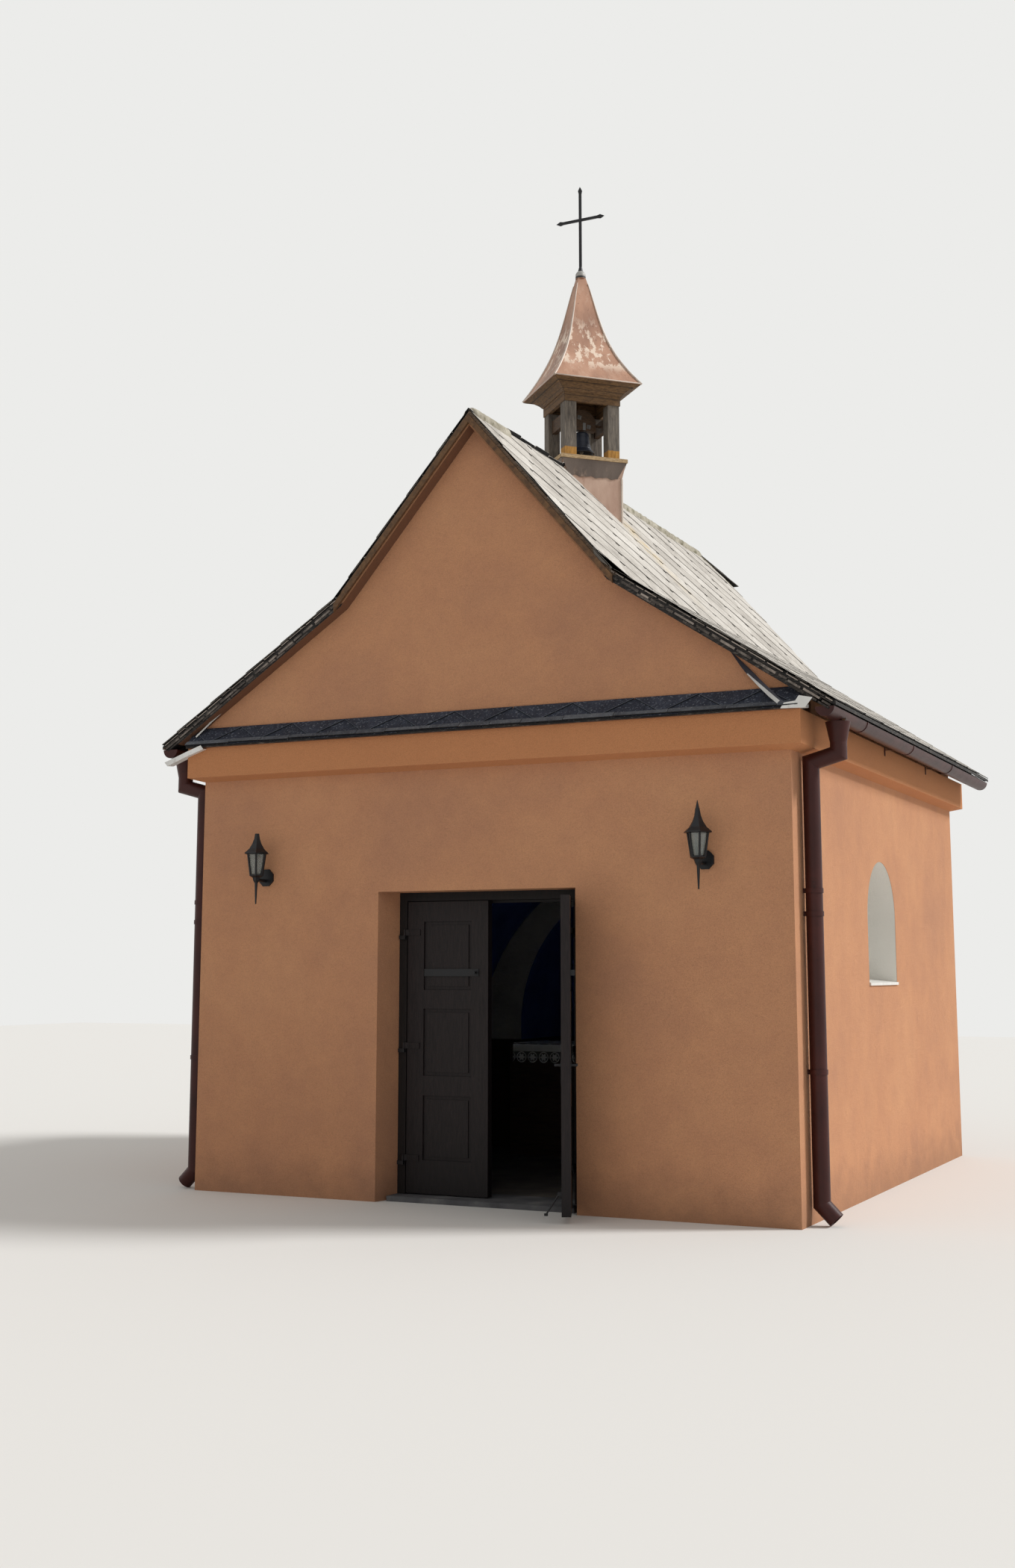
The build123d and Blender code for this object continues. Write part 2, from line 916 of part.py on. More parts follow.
def lantern_glass(x, plate_middle):
    """six-sided glass sleeve inside the bars"""
    y = -lantern_reach
    foot, rim, _ = lantern_levels(plate_middle)
    low, high = foot + lantern_glass_gap, rim - lantern_glass_gap
    inset = lantern_bar / 2 + lantern_bar_inset
    thin = inset + lantern_glass_wall
    outer = ((low, lantern_glass_bottom - inset), (high, lantern_glass_top - inset))
    inner = ((low - just_past, lantern_glass_bottom - thin), (high + just_past, lantern_glass_top - thin))
    return stack(6, outer, x, y, lantern_turn) - stack(6, inner, x, y, lantern_turn)


# Bell turret, drawn square and turned onto the ridge


def turned(shape):
    return turret.location * shape


def square_ring(outer, inner, z0, z1):
    hole = block(-inner, inner, -inner, inner, z0 - just_past, z1 + just_past)
    return block(-outer, outer, -outer, outer, z0, z1) - hole


def square_stack(levels):
    """solid with four flat sides through (height, half width) levels"""
    return stack(4, [(height, half * square_corner) for height, half in levels], 0, 0, 45)


def turret_base():
    """sheet-clad box that straddles the ridge, with a flared apron under the sill"""
    under_sill = sill_top - sill_board
    foot = roof_top(base_half * square_corner) - base_sink
    box = square_ring(base_half, base_half - base_wall, foot, under_sill)
    apron = square_stack(((under_sill - apron_height, base_half + apron_foot), (under_sill, apron_lip)))
    apron = apron - block(-base_half, base_half, -base_half, base_half, foot, under_sill + just_past)
    return turned(box + apron) - over_roof() - ridge_cap()


def turret_sill():
    return turned(block(-sill_half, sill_half, -sill_half, sill_half, sill_top - sill_board, sill_top))


def turret_posts():
    inner = post_outer - post_size
    shapes = []
    for a in (-1, 1):
        for b in (-1, 1):
            post = block(a * inner, a * post_outer, b * inner, b * post_outer, sill_top, head_foot)
            shapes.append(post)
    return turned(joined(shapes))


def turret_rails():
    """two rails between the posts that carry the bell's gudgeons"""
    inner = post_outer - post_size
    middle = post_outer - post_size / 2
    half = rail_thickness / 2
    shapes = []
    for side in (-1, 1):
        near, far = side * (middle - half), side * (middle + half)
        low = sill_top + rail_rise
        rail = block(near, far, -inner, inner, low, low + rail_height)
        start, end = near - side * past, far + side * past
        hole = rod((start, 0, bell_axis), (end, 0, bell_axis), gudgeon_radius + pin_clearance)
        shapes.append(rail - hole)
    return turned(joined(shapes))


def turret_head():
    """boarded frieze with a flared soffit and a ceiling board"""
    frieze = square_ring(head_half, head_half - head_wall, head_foot, frieze_top)
    levels = [(frieze_top, head_half + soffit_step)]
    for share, reach in soffit_profile:
        levels.append((frieze_top + soffit_height * share, head_half + reach))
    edge = eave_half - soffit_edge
    levels = levels + [(spire_foot - soffit_edge, edge), (spire_foot, edge)]
    inner = head_half - head_wall
    ceiling = spire_foot - ceiling_thickness
    hollow = block(-inner, inner, -inner, inner, frieze_top - just_past, ceiling)
    flare = square_stack(levels) - hollow
    return turned(frieze + flare)


def spire_face(inset):
    """half of the spire's section as an edge loop, drawn in by inset"""
    foot = spire_foot
    points = [(eave_half - inset * 2, foot)]
    for half, rise in spire_profile:
        points.append((half - inset, foot + rise))
    tip = max(spire_tip_half - inset, spire_tip_least)
    points.append((tip, spire_top - inset * 2))
    right = Edge.make_spline([Vector(x, 0, z) for x, z in points])
    left = Edge.make_spline([Vector(-x, 0, z) for x, z in points])
    ends = []
    for x, z in (points[0], points[-1]):
        ends.append(Edge.make_line(Vector(-x, 0, z), Vector(x, 0, z)))
    return Face(Wire([ends[0], right, ends[1], left]))


def spire_body(inset):
    """concave four-sided spire: two crossing sections"""
    reach = eave_half + past
    face = spire_face(inset)
    one = Part() + Solid.extrude(Pos(0, -reach, 0) * face, Vector(0, 2 * reach, 0))
    other = one.rotate(Axis.Z, 90)
    return one & other


def spire():
    shell = spire_body(0) - spire_body(spire_wall)
    middle = spire_top + collar_height - collar_radius
    dome = rod((0, 0, spire_top - collar_overlap), (0, 0, middle), collar_radius)
    dome = dome + Pos(0, 0, middle) * Sphere(collar_radius)
    return turned(shell + dome)


def spear(length):
    """outline of a bar from its middle to a swollen, pointed end"""
    half, wide = cross_bar / 2, cross_end / 2
    return [
        (0, -half),
        (length - cross_swell, -half),
        (length - cross_point, -wide),
        (length, 0),
        (length - cross_point, wide),
        (length - cross_swell, half),
        (0, half),
    ]


def cross():
    """iron cross parallel to the front"""
    arms = cross_foot + cross_arms_rise
    y, thick = turret_middle, cross_thickness / 2
    upright = along_y([(b, cross_foot + a) for a, b in spear(cross_height)], y - thick, y + thick)
    arm = along_y([(a, arms + b) for a, b in spear(cross_reach)], y - thick, y + thick)
    low, high = cross_foot - socket_overlap, cross_foot + socket_height
    socket = cone((0, y, low), (0, y, high), cross_bar, socket_tip_radius)
    dome = turned(Pos(0, 0, cross_foot - collar_radius) * Sphere(collar_radius))
    return upright + arm + mirrored(arm) + socket - dome


def bell():
    """open bell, hung by its crown under the yoke, with a pin for the clapper"""
    crown = bell_crown
    lip = crown - bell_height
    r0, r1, t = bell_top_radius, bell_lip_radius, bell_wall
    ceiling = bell_ceiling
    outer = [
        (0, crown),
        (r0, crown),
        (r0 + 12, crown - 14),
        (r0 + 18, crown - bell_height * 0.45),
        (r0 + 32, crown - bell_height * 0.78),
        (r1, lip),
        (r1 - t, lip),
        (r0 + 32 - t, crown - bell_height * 0.74),
        (r0 + 18 - t, crown - bell_height * 0.45),
        (r0 + 8 - t, ceiling - 5),
        (r0 / 2, ceiling),
        (0, ceiling),
    ]
    face = Face(Wire.make_polygon([Vector(r, 0, z) for r, z in outer], close=True))
    shape = Part() + Solid.revolve(face, 360, Axis.Z)
    inner = clapper_leg + clapper_gap
    half = clapper_leg / 2
    pin = clapper_axis
    shape = shape + rod((-inner, 0, pin), (inner, 0, pin), clapper_pin)
    for side in (-1, 1):
        near, far = side * inner, side * (inner + clapper_leg)
        shape = shape + block(near, far, -half, half, pin - half, ceiling + just_past)
    return turned(shape)


def bell_yoke():
    """arched timber headstock with its gudgeons, hangers and striking arm"""
    half, thick = yoke_half, yoke_thickness / 2
    foot = bell_axis - yoke_fall
    arc = ThreePointArc((half, 0, bell_axis), (0, 0, bell_axis + yoke_rise), (-half, 0, bell_axis))
    edges = [
        arc.edges()[0],
        Edge.make_line(Vector(-half, 0, bell_axis), Vector(-half, 0, foot)),
        Edge.make_line(Vector(-half, 0, foot), Vector(half, 0, foot)),
        Edge.make_line(Vector(half, 0, foot), Vector(half, 0, bell_axis)),
    ]
    board = Part() + Solid.extrude(Pos(0, -thick, 0) * Face(Wire(edges)), Vector(0, 2 * thick, 0))
    middle = post_outer - post_size / 2
    end = middle + rail_thickness / 2
    gudgeon = rod((-end, 0, bell_axis), (end, 0, bell_axis), gudgeon_radius)
    hanger = rod((0, 0, bell_crown), (0, 0, foot + just_past), hanger_radius)
    return turned(board + gudgeon + hanger)


def clapper():
    """rod and ball, free to swing on the pin inside the bell"""
    pin = clapper_axis
    ball = bell_crown - bell_height + clapper_rise
    side = clapper_leg + just_past
    eye = rod((-clapper_leg, 0, pin), (clapper_leg, 0, pin), clapper_eye)
    bore = rod((-side, 0, pin), (side, 0, pin), clapper_pin + pin_clearance)
    leg = rod((0, 0, ball), (0, 0, pin), clapper_rod)
    return turned(eye + leg + Pos(0, 0, ball) * Sphere(clapper_radius) - bore)


# Floor and step


def floor_slab():
    return block(-inner_half, inner_half, wall_thickness, inner_back, 0, floor_thickness)


def threshold():
    doorway = block(-frame_half, frame_half, frame_setback, wall_thickness, 0, threshold_height)
    step_front = frame_setback - threshold_depth / 2
    mat = block(-frame_half, frame_half, step_front, frame_setback, 0, threshold_height)
    wedge = [
        (-opening_half, 0, 0),
        (opening_half, 0, 0),
        (frame_half, frame_setback, 0),
        (-frame_half, frame_setback, 0),
    ]
    return doorway + (mat & prism(wedge, (0, 0, threshold_height)))


right_half_roof = roof_half()
left_half_roof = mirrored(right_half_roof)
right_pane, right_frame, right_sill = window_pane(), window_frame(), window_sill()
right_vault = vault_right()
leaf_right = plain_leaf() + hinge_half()
lantern_sleeves = []

save(floor_slab(), "floor_slab")
save(threshold(), "threshold")
save(front_wall_right(), "front_wall_right")
save(mirrored(front_wall_right()), "front_wall_left")
save(front_wall_over_door(), "front_wall_over_door")
save(front_gable(), "front_gable")
save(right_wall(), "right_wall")
save(mirrored(right_wall()), "left_wall")
save(back_wall(), "back_wall")
save(back_gable(), "back_gable")
save(cornice_part("front"), "cornice_front")
save(cornice_part("back"), "cornice_back")
save(cornice_part("right"), "cornice_right")
save(mirrored(cornice_part("right")), "cornice_left")
save(pent_roof(), "pent_roof")
save(right_half_roof, "roof_right")
save(left_half_roof, "roof_left")
save(roof_hip(), "roof_hip")
save(ridge_cap(), "ridge_cap")
save(barge_boards(verge_front - board_thickness, verge_front), "barge_boards_front")
save(barge_boards(verge_back, verge_back + board_thickness) - above_hip(0), "barge_boards_back")
save(gutter(right_pipe_setback), "gutter_right")
save(mirrored(gutter(left_pipe_setback)), "gutter_left")
save(pipe_straight(right_pipe_setback), "downpipe_right")
save(mirrored(pipe_straight(left_pipe_setback)), "downpipe_left")
save(pipe_bend(right_pipe_setback) + mirrored(pipe_bend(left_pipe_setback)), "downpipe_bends")
save(pipe_shoe(right_pipe_setback) + mirrored(pipe_shoe(left_pipe_setback)), "downpipe_shoes")
save(right_frame + mirrored(right_frame), "window_frames")
save(right_pane + mirrored(right_pane), "window_panes")
save(right_sill + mirrored(right_sill), "window_sills")
save(right_vault, "vault_right")
save(mirrored(right_vault), "vault_left")
save(chancel_arch(), "chancel_arch")
save(altar(), "altar")
save(altar_cloth(), "altar_cloth")
save(door_frame(), "door_frame")
save(hinge_pins(), "hinge_pins")
save(mirrored(leaf_right), "door_leaf_left")
save(opened(leaf_right, 1), "door_leaf_right")
save(hasp_bar(), "hasp_bar")
save(opened(staple(), 1), "hasp_staple")
save(opened(door_handle(), 1), "door_handle")
save(opened(stay_bracket(), 1), "stay_bracket")
save(opened(door_stay(), 1), "door_stay")
for name, middle, level in lantern_spots:
    save(lantern(middle, level, name == "right"), f"lantern_{name}")
    lantern_sleeves.append(lantern_glass(middle, level))
save(joined(lantern_sleeves), "lantern_glass")
save(turret_base(), "turret_base")
save(turret_sill(), "turret_sill")
save(turret_posts(), "turret_posts")
save(turret_rails(), "turret_rails")
save(turret_head(), "turret_head")
save(spire(), "spire")
save(cross(), "cross")
save(bell(), "bell")
save(bell_yoke(), "bell_yoke")
save(clapper(), "clapper")
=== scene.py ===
import math
import random

import bpy
from mathutils import Matrix, Vector


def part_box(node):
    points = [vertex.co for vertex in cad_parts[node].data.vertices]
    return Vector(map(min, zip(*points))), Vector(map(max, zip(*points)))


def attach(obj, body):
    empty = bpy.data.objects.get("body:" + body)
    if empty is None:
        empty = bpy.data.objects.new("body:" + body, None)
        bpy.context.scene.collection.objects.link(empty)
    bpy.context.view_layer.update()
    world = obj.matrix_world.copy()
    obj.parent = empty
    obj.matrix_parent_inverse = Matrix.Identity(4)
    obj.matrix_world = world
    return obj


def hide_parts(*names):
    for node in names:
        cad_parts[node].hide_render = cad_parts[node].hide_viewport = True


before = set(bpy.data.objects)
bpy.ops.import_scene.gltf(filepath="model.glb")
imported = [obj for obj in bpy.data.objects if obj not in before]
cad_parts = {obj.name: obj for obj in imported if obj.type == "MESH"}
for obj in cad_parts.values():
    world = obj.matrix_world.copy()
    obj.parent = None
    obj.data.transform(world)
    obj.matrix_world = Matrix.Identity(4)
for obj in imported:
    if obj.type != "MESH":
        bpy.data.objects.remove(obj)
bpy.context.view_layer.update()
random.seed(11)
print("frame loaded:", len(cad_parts), "nodes")

# places that several pieces share, read from the frame
roofLow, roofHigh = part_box("roof_right")
wallLow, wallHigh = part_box("front_wall_over_door")
sillLow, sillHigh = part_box("turret_sill")
headLow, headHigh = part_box("turret_head")
spireLow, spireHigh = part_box("spire")
turretY = (sillLow.y + sillHigh.y) / 2
frontY = wallLow.y
halfWidth = wallHigh.x
insideX = halfWidth - (wallHigh.y - wallLow.y)
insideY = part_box("back_wall")[0].y

# slates laid on their corners, each a diamond, and the lines of the roof under them
roof = {
    "kick": (1.08, 4.19), "eaveZ": 3.21, "across": 0.48, "rise": 0.18, "side": 0.4, "cutCorner": 0.045,
    "thick": 0.006, "lift": 0.01, "shift": 0.006, "turn": 0.014, "overhang": 0.01, "foot": 0.008, "head": 0.16,
}
eavePoint = Vector((roofHigh.x, 0, roof["eaveZ"]))
kickPoint = Vector((roof["kick"][0], 0, roof["kick"][1]))
ridgePoint = Vector((0, 0, roofHigh.z))
lowerRun = (kickPoint - eavePoint).length
upperRun = (ridgePoint - kickPoint).length
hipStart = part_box("roof_hip")[0].y
upperFall = (ridgePoint.z - kickPoint.z) / kickPoint.x
lowerFall = (kickPoint.z - eavePoint.z) / (eavePoint.x - kickPoint.x)

# helpers for objects and meshes


def jitter(reach):
    return random.uniform(-reach, reach)


def toMode(mode):
    bpy.ops.object.mode_set(mode=mode)


def deselectAll():
    if bpy.context.object and bpy.context.object.mode != "OBJECT":
        toMode("OBJECT")
    bpy.ops.object.select_all(action="DESELECT")


def only(piece):
    deselectAll()
    piece.select_set(True)
    bpy.context.view_layer.objects.active = piece


def addCube(size, place, turn=(0, 0, 0)):
    deselectAll()
    bpy.ops.mesh.primitive_cube_add(size=1, location=place, rotation=turn)
    piece = bpy.context.object
    piece.scale = size
    bpy.ops.object.transform_apply(location=False, rotation=False, scale=True)
    return piece


def addCylinder(radius, depth, place, turn, sides):
    deselectAll()
    bpy.ops.mesh.primitive_cylinder_add(vertices=sides, radius=radius, depth=depth, location=place, rotation=turn)
    return bpy.context.object


def applyPlace(piece):
    only(piece)
    bpy.ops.object.transform_apply(location=True, rotation=True, scale=True)
    return piece


def editAll(piece):
    # edit mode with all of the piece selected
    only(piece)
    toMode("EDIT")
    bpy.ops.mesh.select_all(action="SELECT")


def bevelEdges(piece, width, segments, test):
    # bevels the edges whose middle and direction pass the test
    only(piece)
    toMode("EDIT")
    bpy.ops.mesh.select_mode(type="EDGE")
    bpy.ops.mesh.select_all(action="DESELECT")
    toMode("OBJECT")
    for edge in piece.data.edges:
        start, end = (piece.data.vertices[number].co for number in edge.vertices)
        edge.select = test((start + end) / 2, (end - start).normalized())
    toMode("EDIT")
    bpy.ops.mesh.bevel(offset=width, segments=segments, affect="EDGES")
    toMode("OBJECT")


def trim(piece, place, normal, clear=True):
    # cuts along a plane, takes away what lies beyond it and closes the cut, or only adds the line
    editAll(piece)
    bpy.ops.mesh.bisect(plane_co=place, plane_no=normal, clear_outer=clear, use_fill=clear)
    toMode("OBJECT")


def applyModifier(piece, kind, **settings):
    only(piece)
    modifier = piece.modifiers.new(kind.title(), kind)
    for key, value in settings.items():
        setattr(modifier, key, value)
    bpy.ops.object.modifier_apply(modifier=modifier.name)


def softEdges(piece, width, segments):
    applyModifier(piece, "BEVEL", width=width, segments=segments, limit_method="ANGLE", angle_limit=math.radians(35))
    return piece


def smooth(piece, angle):
    only(piece)
    bpy.ops.object.shade_smooth_by_angle(angle=math.radians(angle))
    return piece


def addTone(piece, tone):
    layer = piece.data.attributes.get("tone") or piece.data.attributes.new("tone", "FLOAT", "POINT")
    for item in layer.data:
        item.value = tone
    return piece


def copyTo(piece, matrix, tone):
    twin = piece.copy()
    twin.data = piece.data.copy()
    twin.data.transform(matrix)
    bpy.context.collection.objects.link(twin)
    return addTone(twin, tone)


def joinAll(pieces):
    deselectAll()
    for piece in pieces:
        piece.select_set(True)
    bpy.context.view_layer.objects.active = pieces[0]
    bpy.ops.object.join()
    return bpy.context.object


def dropPiece(piece):
    bpy.data.objects.remove(piece, do_unlink=True)


def settle(piece, name, look, body="chapel", nodes=()):
    # the place goes into the mesh, then the piece gets its finish and its body
    applyPlace(piece)
    piece.name = name
    piece.data.materials.clear()
    piece.data.materials.append(looks[look])
    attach(piece, body)
    if nodes:
        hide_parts(*nodes)
    return piece


# helpers for materials


def srgb(red, green, blue):
    # a colour as seen, 0 to 255, to the linear one that the shader takes
    parts = []
    for value in (red, green, blue):
        value = value / 255
        parts.append(value / 12.92 if value <= 0.04045 else ((value + 0.055) / 1.055) ** 2.4)
    return (*parts, 1)


def addNode(tree, kind, sockets=None, **settings):
    # a shader node with its settings, and its sockets, each with a value or with another node's output
    node = tree.nodes.new("ShaderNode" + kind)
    for key, value in settings.items():
        setattr(node, key, value)
    for key, value in (sockets or {}).items():
        if hasattr(value, "is_output"):
            tree.links.new(value, node.inputs[key])
        else:
            node.inputs[key].default_value = value
    return node


class Look:
    # one procedural material with short calls for its nodes; colours are written as seen, 0 to 255
    def __init__(self, name, metallic=0.0, specular=0.5):
        self.name = name
        self.material = bpy.data.materials.new(name)
        self.material.use_nodes = True
        self.tree = self.material.node_tree
        self.shader = self.tree.nodes["Principled BSDF"]
        self.shader.inputs["Metallic"].default_value = metallic
        self.shader.inputs["Specular IOR Level"].default_value = specular
        self.place = self.add("TexCoord").outputs["Object"]
        self.x, self.y, self.z = self.add("SeparateXYZ", {0: self.place}).outputs

    def add(self, kind, sockets=None, **settings):
        return addNode(self.tree, kind, sockets, **settings)

    def math(self, operation, first, second=0.0):
        return self.add("Math", {0: first, 1: second}, operation=operation).outputs[0]

    def times(self, first, second):
        return self.math("MULTIPLY", first, second)

    def plus(self, first, second):
        return self.math("ADD", first, second)

    def minus(self, first, second):
        return self.math("SUBTRACT", first, second)

    def stretched(self, scale):
        return self.add("Mapping", {"Vector": self.place, "Scale": scale}).outputs[0]

    def noise(self, scale, detail=4.0, roughness=0.55, vector=None, distortion=0.0):
        sockets = {"Vector": vector or self.place, "Scale": scale, "Detail": detail, "Roughness": roughness,
                   "Distortion": distortion}
        return self.add("TexNoise", sockets).outputs["Fac"]

    def cells(self, scale):
        return self.add("TexVoronoi", {"Vector": self.place, "Scale": scale}).outputs["Distance"]

    def slope(self):
        # height of the face's own normal: 1 looks up, 0 sideways
        return self.add("SeparateXYZ", {0: self.add("NewGeometry").outputs["True Normal"]}).outputs[2]

    def ramp(self, value, *stops):
        node = self.add("ValToRGB", {0: value})
        points = node.color_ramp.elements
        while len(points) < len(stops):
            points.new(0.5)
        for point, (at, colour) in zip(points, stops):
            point.position = at
            point.color = srgb(*colour) if isinstance(colour, tuple) else (colour, colour, colour, 1)
        return node.outputs["Color"]

    def blend(self, value, dark, pale):
        return self.ramp(value, (0.3, dark), (0.7, pale))

    def step(self, value, low, high):
        sockets = {"Value": value, "From Min": low, "From Max": high}
        return self.add("MapRange", sockets, interpolation_type="SMOOTHSTEP").outputs["Result"]

    def within(self, value, middle, half, soft=0.002):
        away = self.math("ABSOLUTE", self.minus(value, middle))
        return self.step(away, half + soft, half - soft)

    def mix(self, amount, first, second, blend="MIX"):
        first, second = (srgb(*value) if isinstance(value, tuple) else value for value in (first, second))
        sockets = {"Factor": amount, "A": first, "B": second}
        return self.add("Mix", sockets, data_type="RGBA", blend_type=blend).outputs["Result"]

    def tint(self, colour, mask, share, paint):
        return self.mix(self.times(mask, share), colour, paint)

    def finish(self, colour, roughness, *bumps):
        # roughness is a pattern and its two ends, each bump a height from 0 to 1 and its depth in metres
        pattern, low, high = roughness
        rough = self.add("MapRange", {"Value": pattern, "To Min": low, "To Max": high}).outputs[0]
        normal = None
        for height, depth in bumps:
            sockets = {"Distance": depth, "Height": height}
            if normal:
                sockets["Normal"] = normal
            normal = self.add("Bump", sockets).outputs[0]
        for name, value in (("Base Color", colour), ("Roughness", rough), ("Normal", normal)):
            self.tree.links.new(value, self.shader.inputs[name])
        looks[self.name] = self.material


# materials

looks = {}
room = {"dado": (0.955, 0.965), "pane": (1.9, 0.43, 0.47)}
lace = {
    "half": 1.1, "rosette": 0.102, "middle": 0.838, "drop": 0.16, "thick": 0.0015, "cells": (200, 34),
    "scallop": 0.047, "waves": ((23, 0), (41, 1.3)), "yarn": 700,
}
wallPaint = {
    "orange": (200, 145, 109), "warm": (209, 155, 116), "dull": (184, 134, 105), "cornice": (199, 134, 88),
    "lowerWall": (112, 88, 72), "white": (246, 242, 234), "blue": (70, 92, 160), "dado": (50, 38, 34),
}


def makeWall(name, cornice=0.0):
    look = Look(name, specular=0.2)
    clouds = look.noise(0.9, detail=5)
    patches = look.noise(5.0, detail=6, roughness=0.6)
    grain = look.noise(150, detail=5, roughness=0.8)
    colour = look.ramp(clouds, (0.3, wallPaint["dull"]), (0.5, wallPaint["orange"]), (0.72, wallPaint["warm"]))
    colour = look.mix(0.35, colour, look.blend(patches, wallPaint["dull"], wallPaint["warm"]))
    colour = look.mix(cornice, colour, wallPaint["cornice"])
    speckle = look.ramp(grain, (0.34, 0.74), (0.5, 0.98), (0.66, 1.08))
    colour = look.mix(0.8, colour, speckle, "MULTIPLY")
    # darker towards the bottom of the wall
    low = look.step(look.plus(look.z, look.times(patches, 0.35)), 0.55, 0.1)
    colour = look.tint(colour, low, 0.4, wallPaint["lowerWall"])
    # white window reveals
    paneLow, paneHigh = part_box("window_panes")
    level, half, halfHigh = room["pane"]
    reach = look.math("ABSOLUTE", look.x)
    reveal = look.times(look.times(look.step(reach, insideX + 0.001, insideX + 0.004),
                                   look.step(reach, halfWidth - 0.001, halfWidth - 0.004)),
                        look.times(look.within(look.y, (paneLow.y + paneHigh.y) / 2, half),
                                   look.within(look.z, level, halfHigh)))
    colour = look.mix(reveal, colour, wallPaint["white"])
    # painted room, with a dark dado
    inside = look.times(look.step(reach, insideX + 0.004, insideX + 0.001),
                        look.step(look.math("ABSOLUTE", look.y), insideY + 0.004, insideY + 0.001))
    paint = look.mix(look.step(look.z, *room["dado"]), wallPaint["dado"], wallPaint["blue"])
    colour = look.mix(inside, colour, paint)
    look.finish(colour, (patches, 0.86, 0.96), (look.noise(26), 0.004), (look.cells(260), 0.0022), (grain, 0.002))


def makeInside():
    look = Look("inside_limewash", specular=0.25)
    clouds = look.noise(2.2, detail=6)
    blue = look.blend(clouds, (58, 80, 146), (82, 104, 172))
    band = look.blend(clouds, (150, 146, 140), (178, 174, 166))
    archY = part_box("chancel_arch")[0].y
    colour = look.mix(look.within(look.y, archY, 0.004), blue, band)
    colour = look.mix(look.step(look.z, *room["dado"]), wallPaint["dado"], colour)
    look.finish(colour, (clouds, 0.84, 0.95), (look.noise(60, detail=5), 0.003))


def makeAltar():
    look = Look("altar_board")
    grain = look.noise(7, vector=look.stretched((1, 1, 9)), detail=6, distortion=0.6)
    colour = look.blend(grain, (40, 28, 24), (70, 50, 40))
    look.finish(colour, (grain, 0.5, 0.7), (grain, 0.001))


def makeConcrete(name, dark, middle, pale):
    look = Look(name)
    clouds = look.noise(4, detail=7)
    grit = look.noise(300, detail=3)
    colour = look.ramp(clouds, (0.3, dark), (0.55, middle), (0.75, pale))
    colour = look.mix(0.6, colour, look.ramp(grit, (0.3, 0.7), (0.6, 1.0)), "MULTIPLY")
    look.finish(colour, (clouds, 0.8, 0.95), (clouds, 0.006), (grit, 0.002))


def makeSlate(name, dark, middle, pale, specks, spread, spot=None, edge=(84, 79, 73), streak=None):
    # each slate has its own tone; cut edges are darker, partly their own colour and partly painted shade; undersides
    # are painted shade, near black; lichen and rain streaks go over all of them
    look = Look(name, specular=0.3)
    clouds = look.noise(2.4, detail=6, roughness=0.6)
    fine = look.noise(13, detail=7, roughness=0.7)
    mottle = look.plus(look.times(clouds, 0.45), look.times(fine, 0.55))
    tone = look.add("Attribute", attribute_name="tone").outputs["Fac"]
    mottle = look.plus(mottle, look.times(look.minus(tone, 0.5), spread))
    colour = look.ramp(mottle, (0.3, dark), (0.47, middle), (0.66, pale))
    blots = look.step(look.noise(60, detail=6, roughness=0.75), 0.54, 0.66)
    colour = look.tint(colour, blots, specks, spot or pale)
    stains = look.step(look.noise(42, detail=5, roughness=0.7), 0.58, 0.72)
    colour = look.tint(colour, stains, 0.4, dark)
    if streak:
        colour = streak(look, colour, clouds)
    slope = look.slope()
    # edges facing down the slope get the edge colour; on the roof its darkness is partly the cut slate's own and
    # partly painted shade
    if edge:
        colour = look.tint(colour, look.step(slope, 0.35, 0.1), 0.85, edge)
    # painted shade: faces that look down are made near-black
    colour = look.mix(look.step(slope, -0.1, -0.3), colour, (24, 23, 24))
    look.finish(colour, (clouds, 0.65, 0.92), (clouds, 0.003), (look.noise(110, detail=5), 0.0015))


def rustRun(look, colour, clouds):
    # rusty water from the turret's foot, down over the first few slates
    wobble = look.plus(look.y, look.times(look.minus(clouds, 0.5), 0.3))
    run = look.times(look.step(look.x, 0.25, 0.34), look.step(look.x, 1.1, 0.4))
    run = look.times(look.within(wobble, turretY + 0.12, 0.13, 0.1), run)
    patchy = look.step(look.noise(11, detail=5), 0.35, 0.6)
    return look.tint(colour, look.times(run, patchy), 0.6, (196, 170, 116))


def makeUnderRoof():
    # slate grey on top, layered slate edges on the upright cuts, dark boards underneath
    look = Look("roof_boards")
    grain = look.noise(6, vector=look.stretched((1, 8, 8)), detail=6)
    layers = look.noise(22, vector=look.stretched((1, 1, 7)), detail=6, roughness=0.7)
    boards = look.blend(grain, (30, 26, 24), (56, 49, 44))
    edges = look.ramp(layers, (0.44, (18, 16, 15)), (0.56, (38, 34, 31)), (0.68, (120, 112, 104)))
    steep = look.ramp(layers, (0.4, (84, 66, 52)), (0.56, (132, 112, 94)))
    away = look.math("ABSOLUTE", look.x)
    depth = None
    for (x, z), fall in (((0, roofHigh.z), upperFall), (roof["kick"], lowerFall)):
        line = look.minus(z + fall * x, look.times(away, fall))
        under = look.times(look.minus(line, look.z), 1 / math.hypot(1, fall))
        depth = look.math("MAXIMUM", depth, under) if depth else under
    plaster = look.blend(layers, (146, 102, 72), (164, 116, 82))
    steep = look.mix(look.step(depth, 0.05, 0.053), steep, plaster)
    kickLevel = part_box("barge_boards_front")[0].z + 0.06
    edges = look.mix(look.step(look.z, kickLevel - 0.01, kickLevel + 0.01), edges, steep)
    boards = look.mix(look.step(look.y, frontY + 0.005, frontY - 0.005), boards, (112, 76, 54))
    top = look.blend(grain, (120, 114, 106), (168, 162, 152))
    slope = look.slope()
    colour = look.mix(look.step(slope, -0.3, -0.15), boards, edges)
    colour = look.mix(look.step(slope, 0.3, 0.4), colour, top)
    look.finish(colour, (grain, 0.75, 0.92), (grain, 0.002), (layers, 0.002))


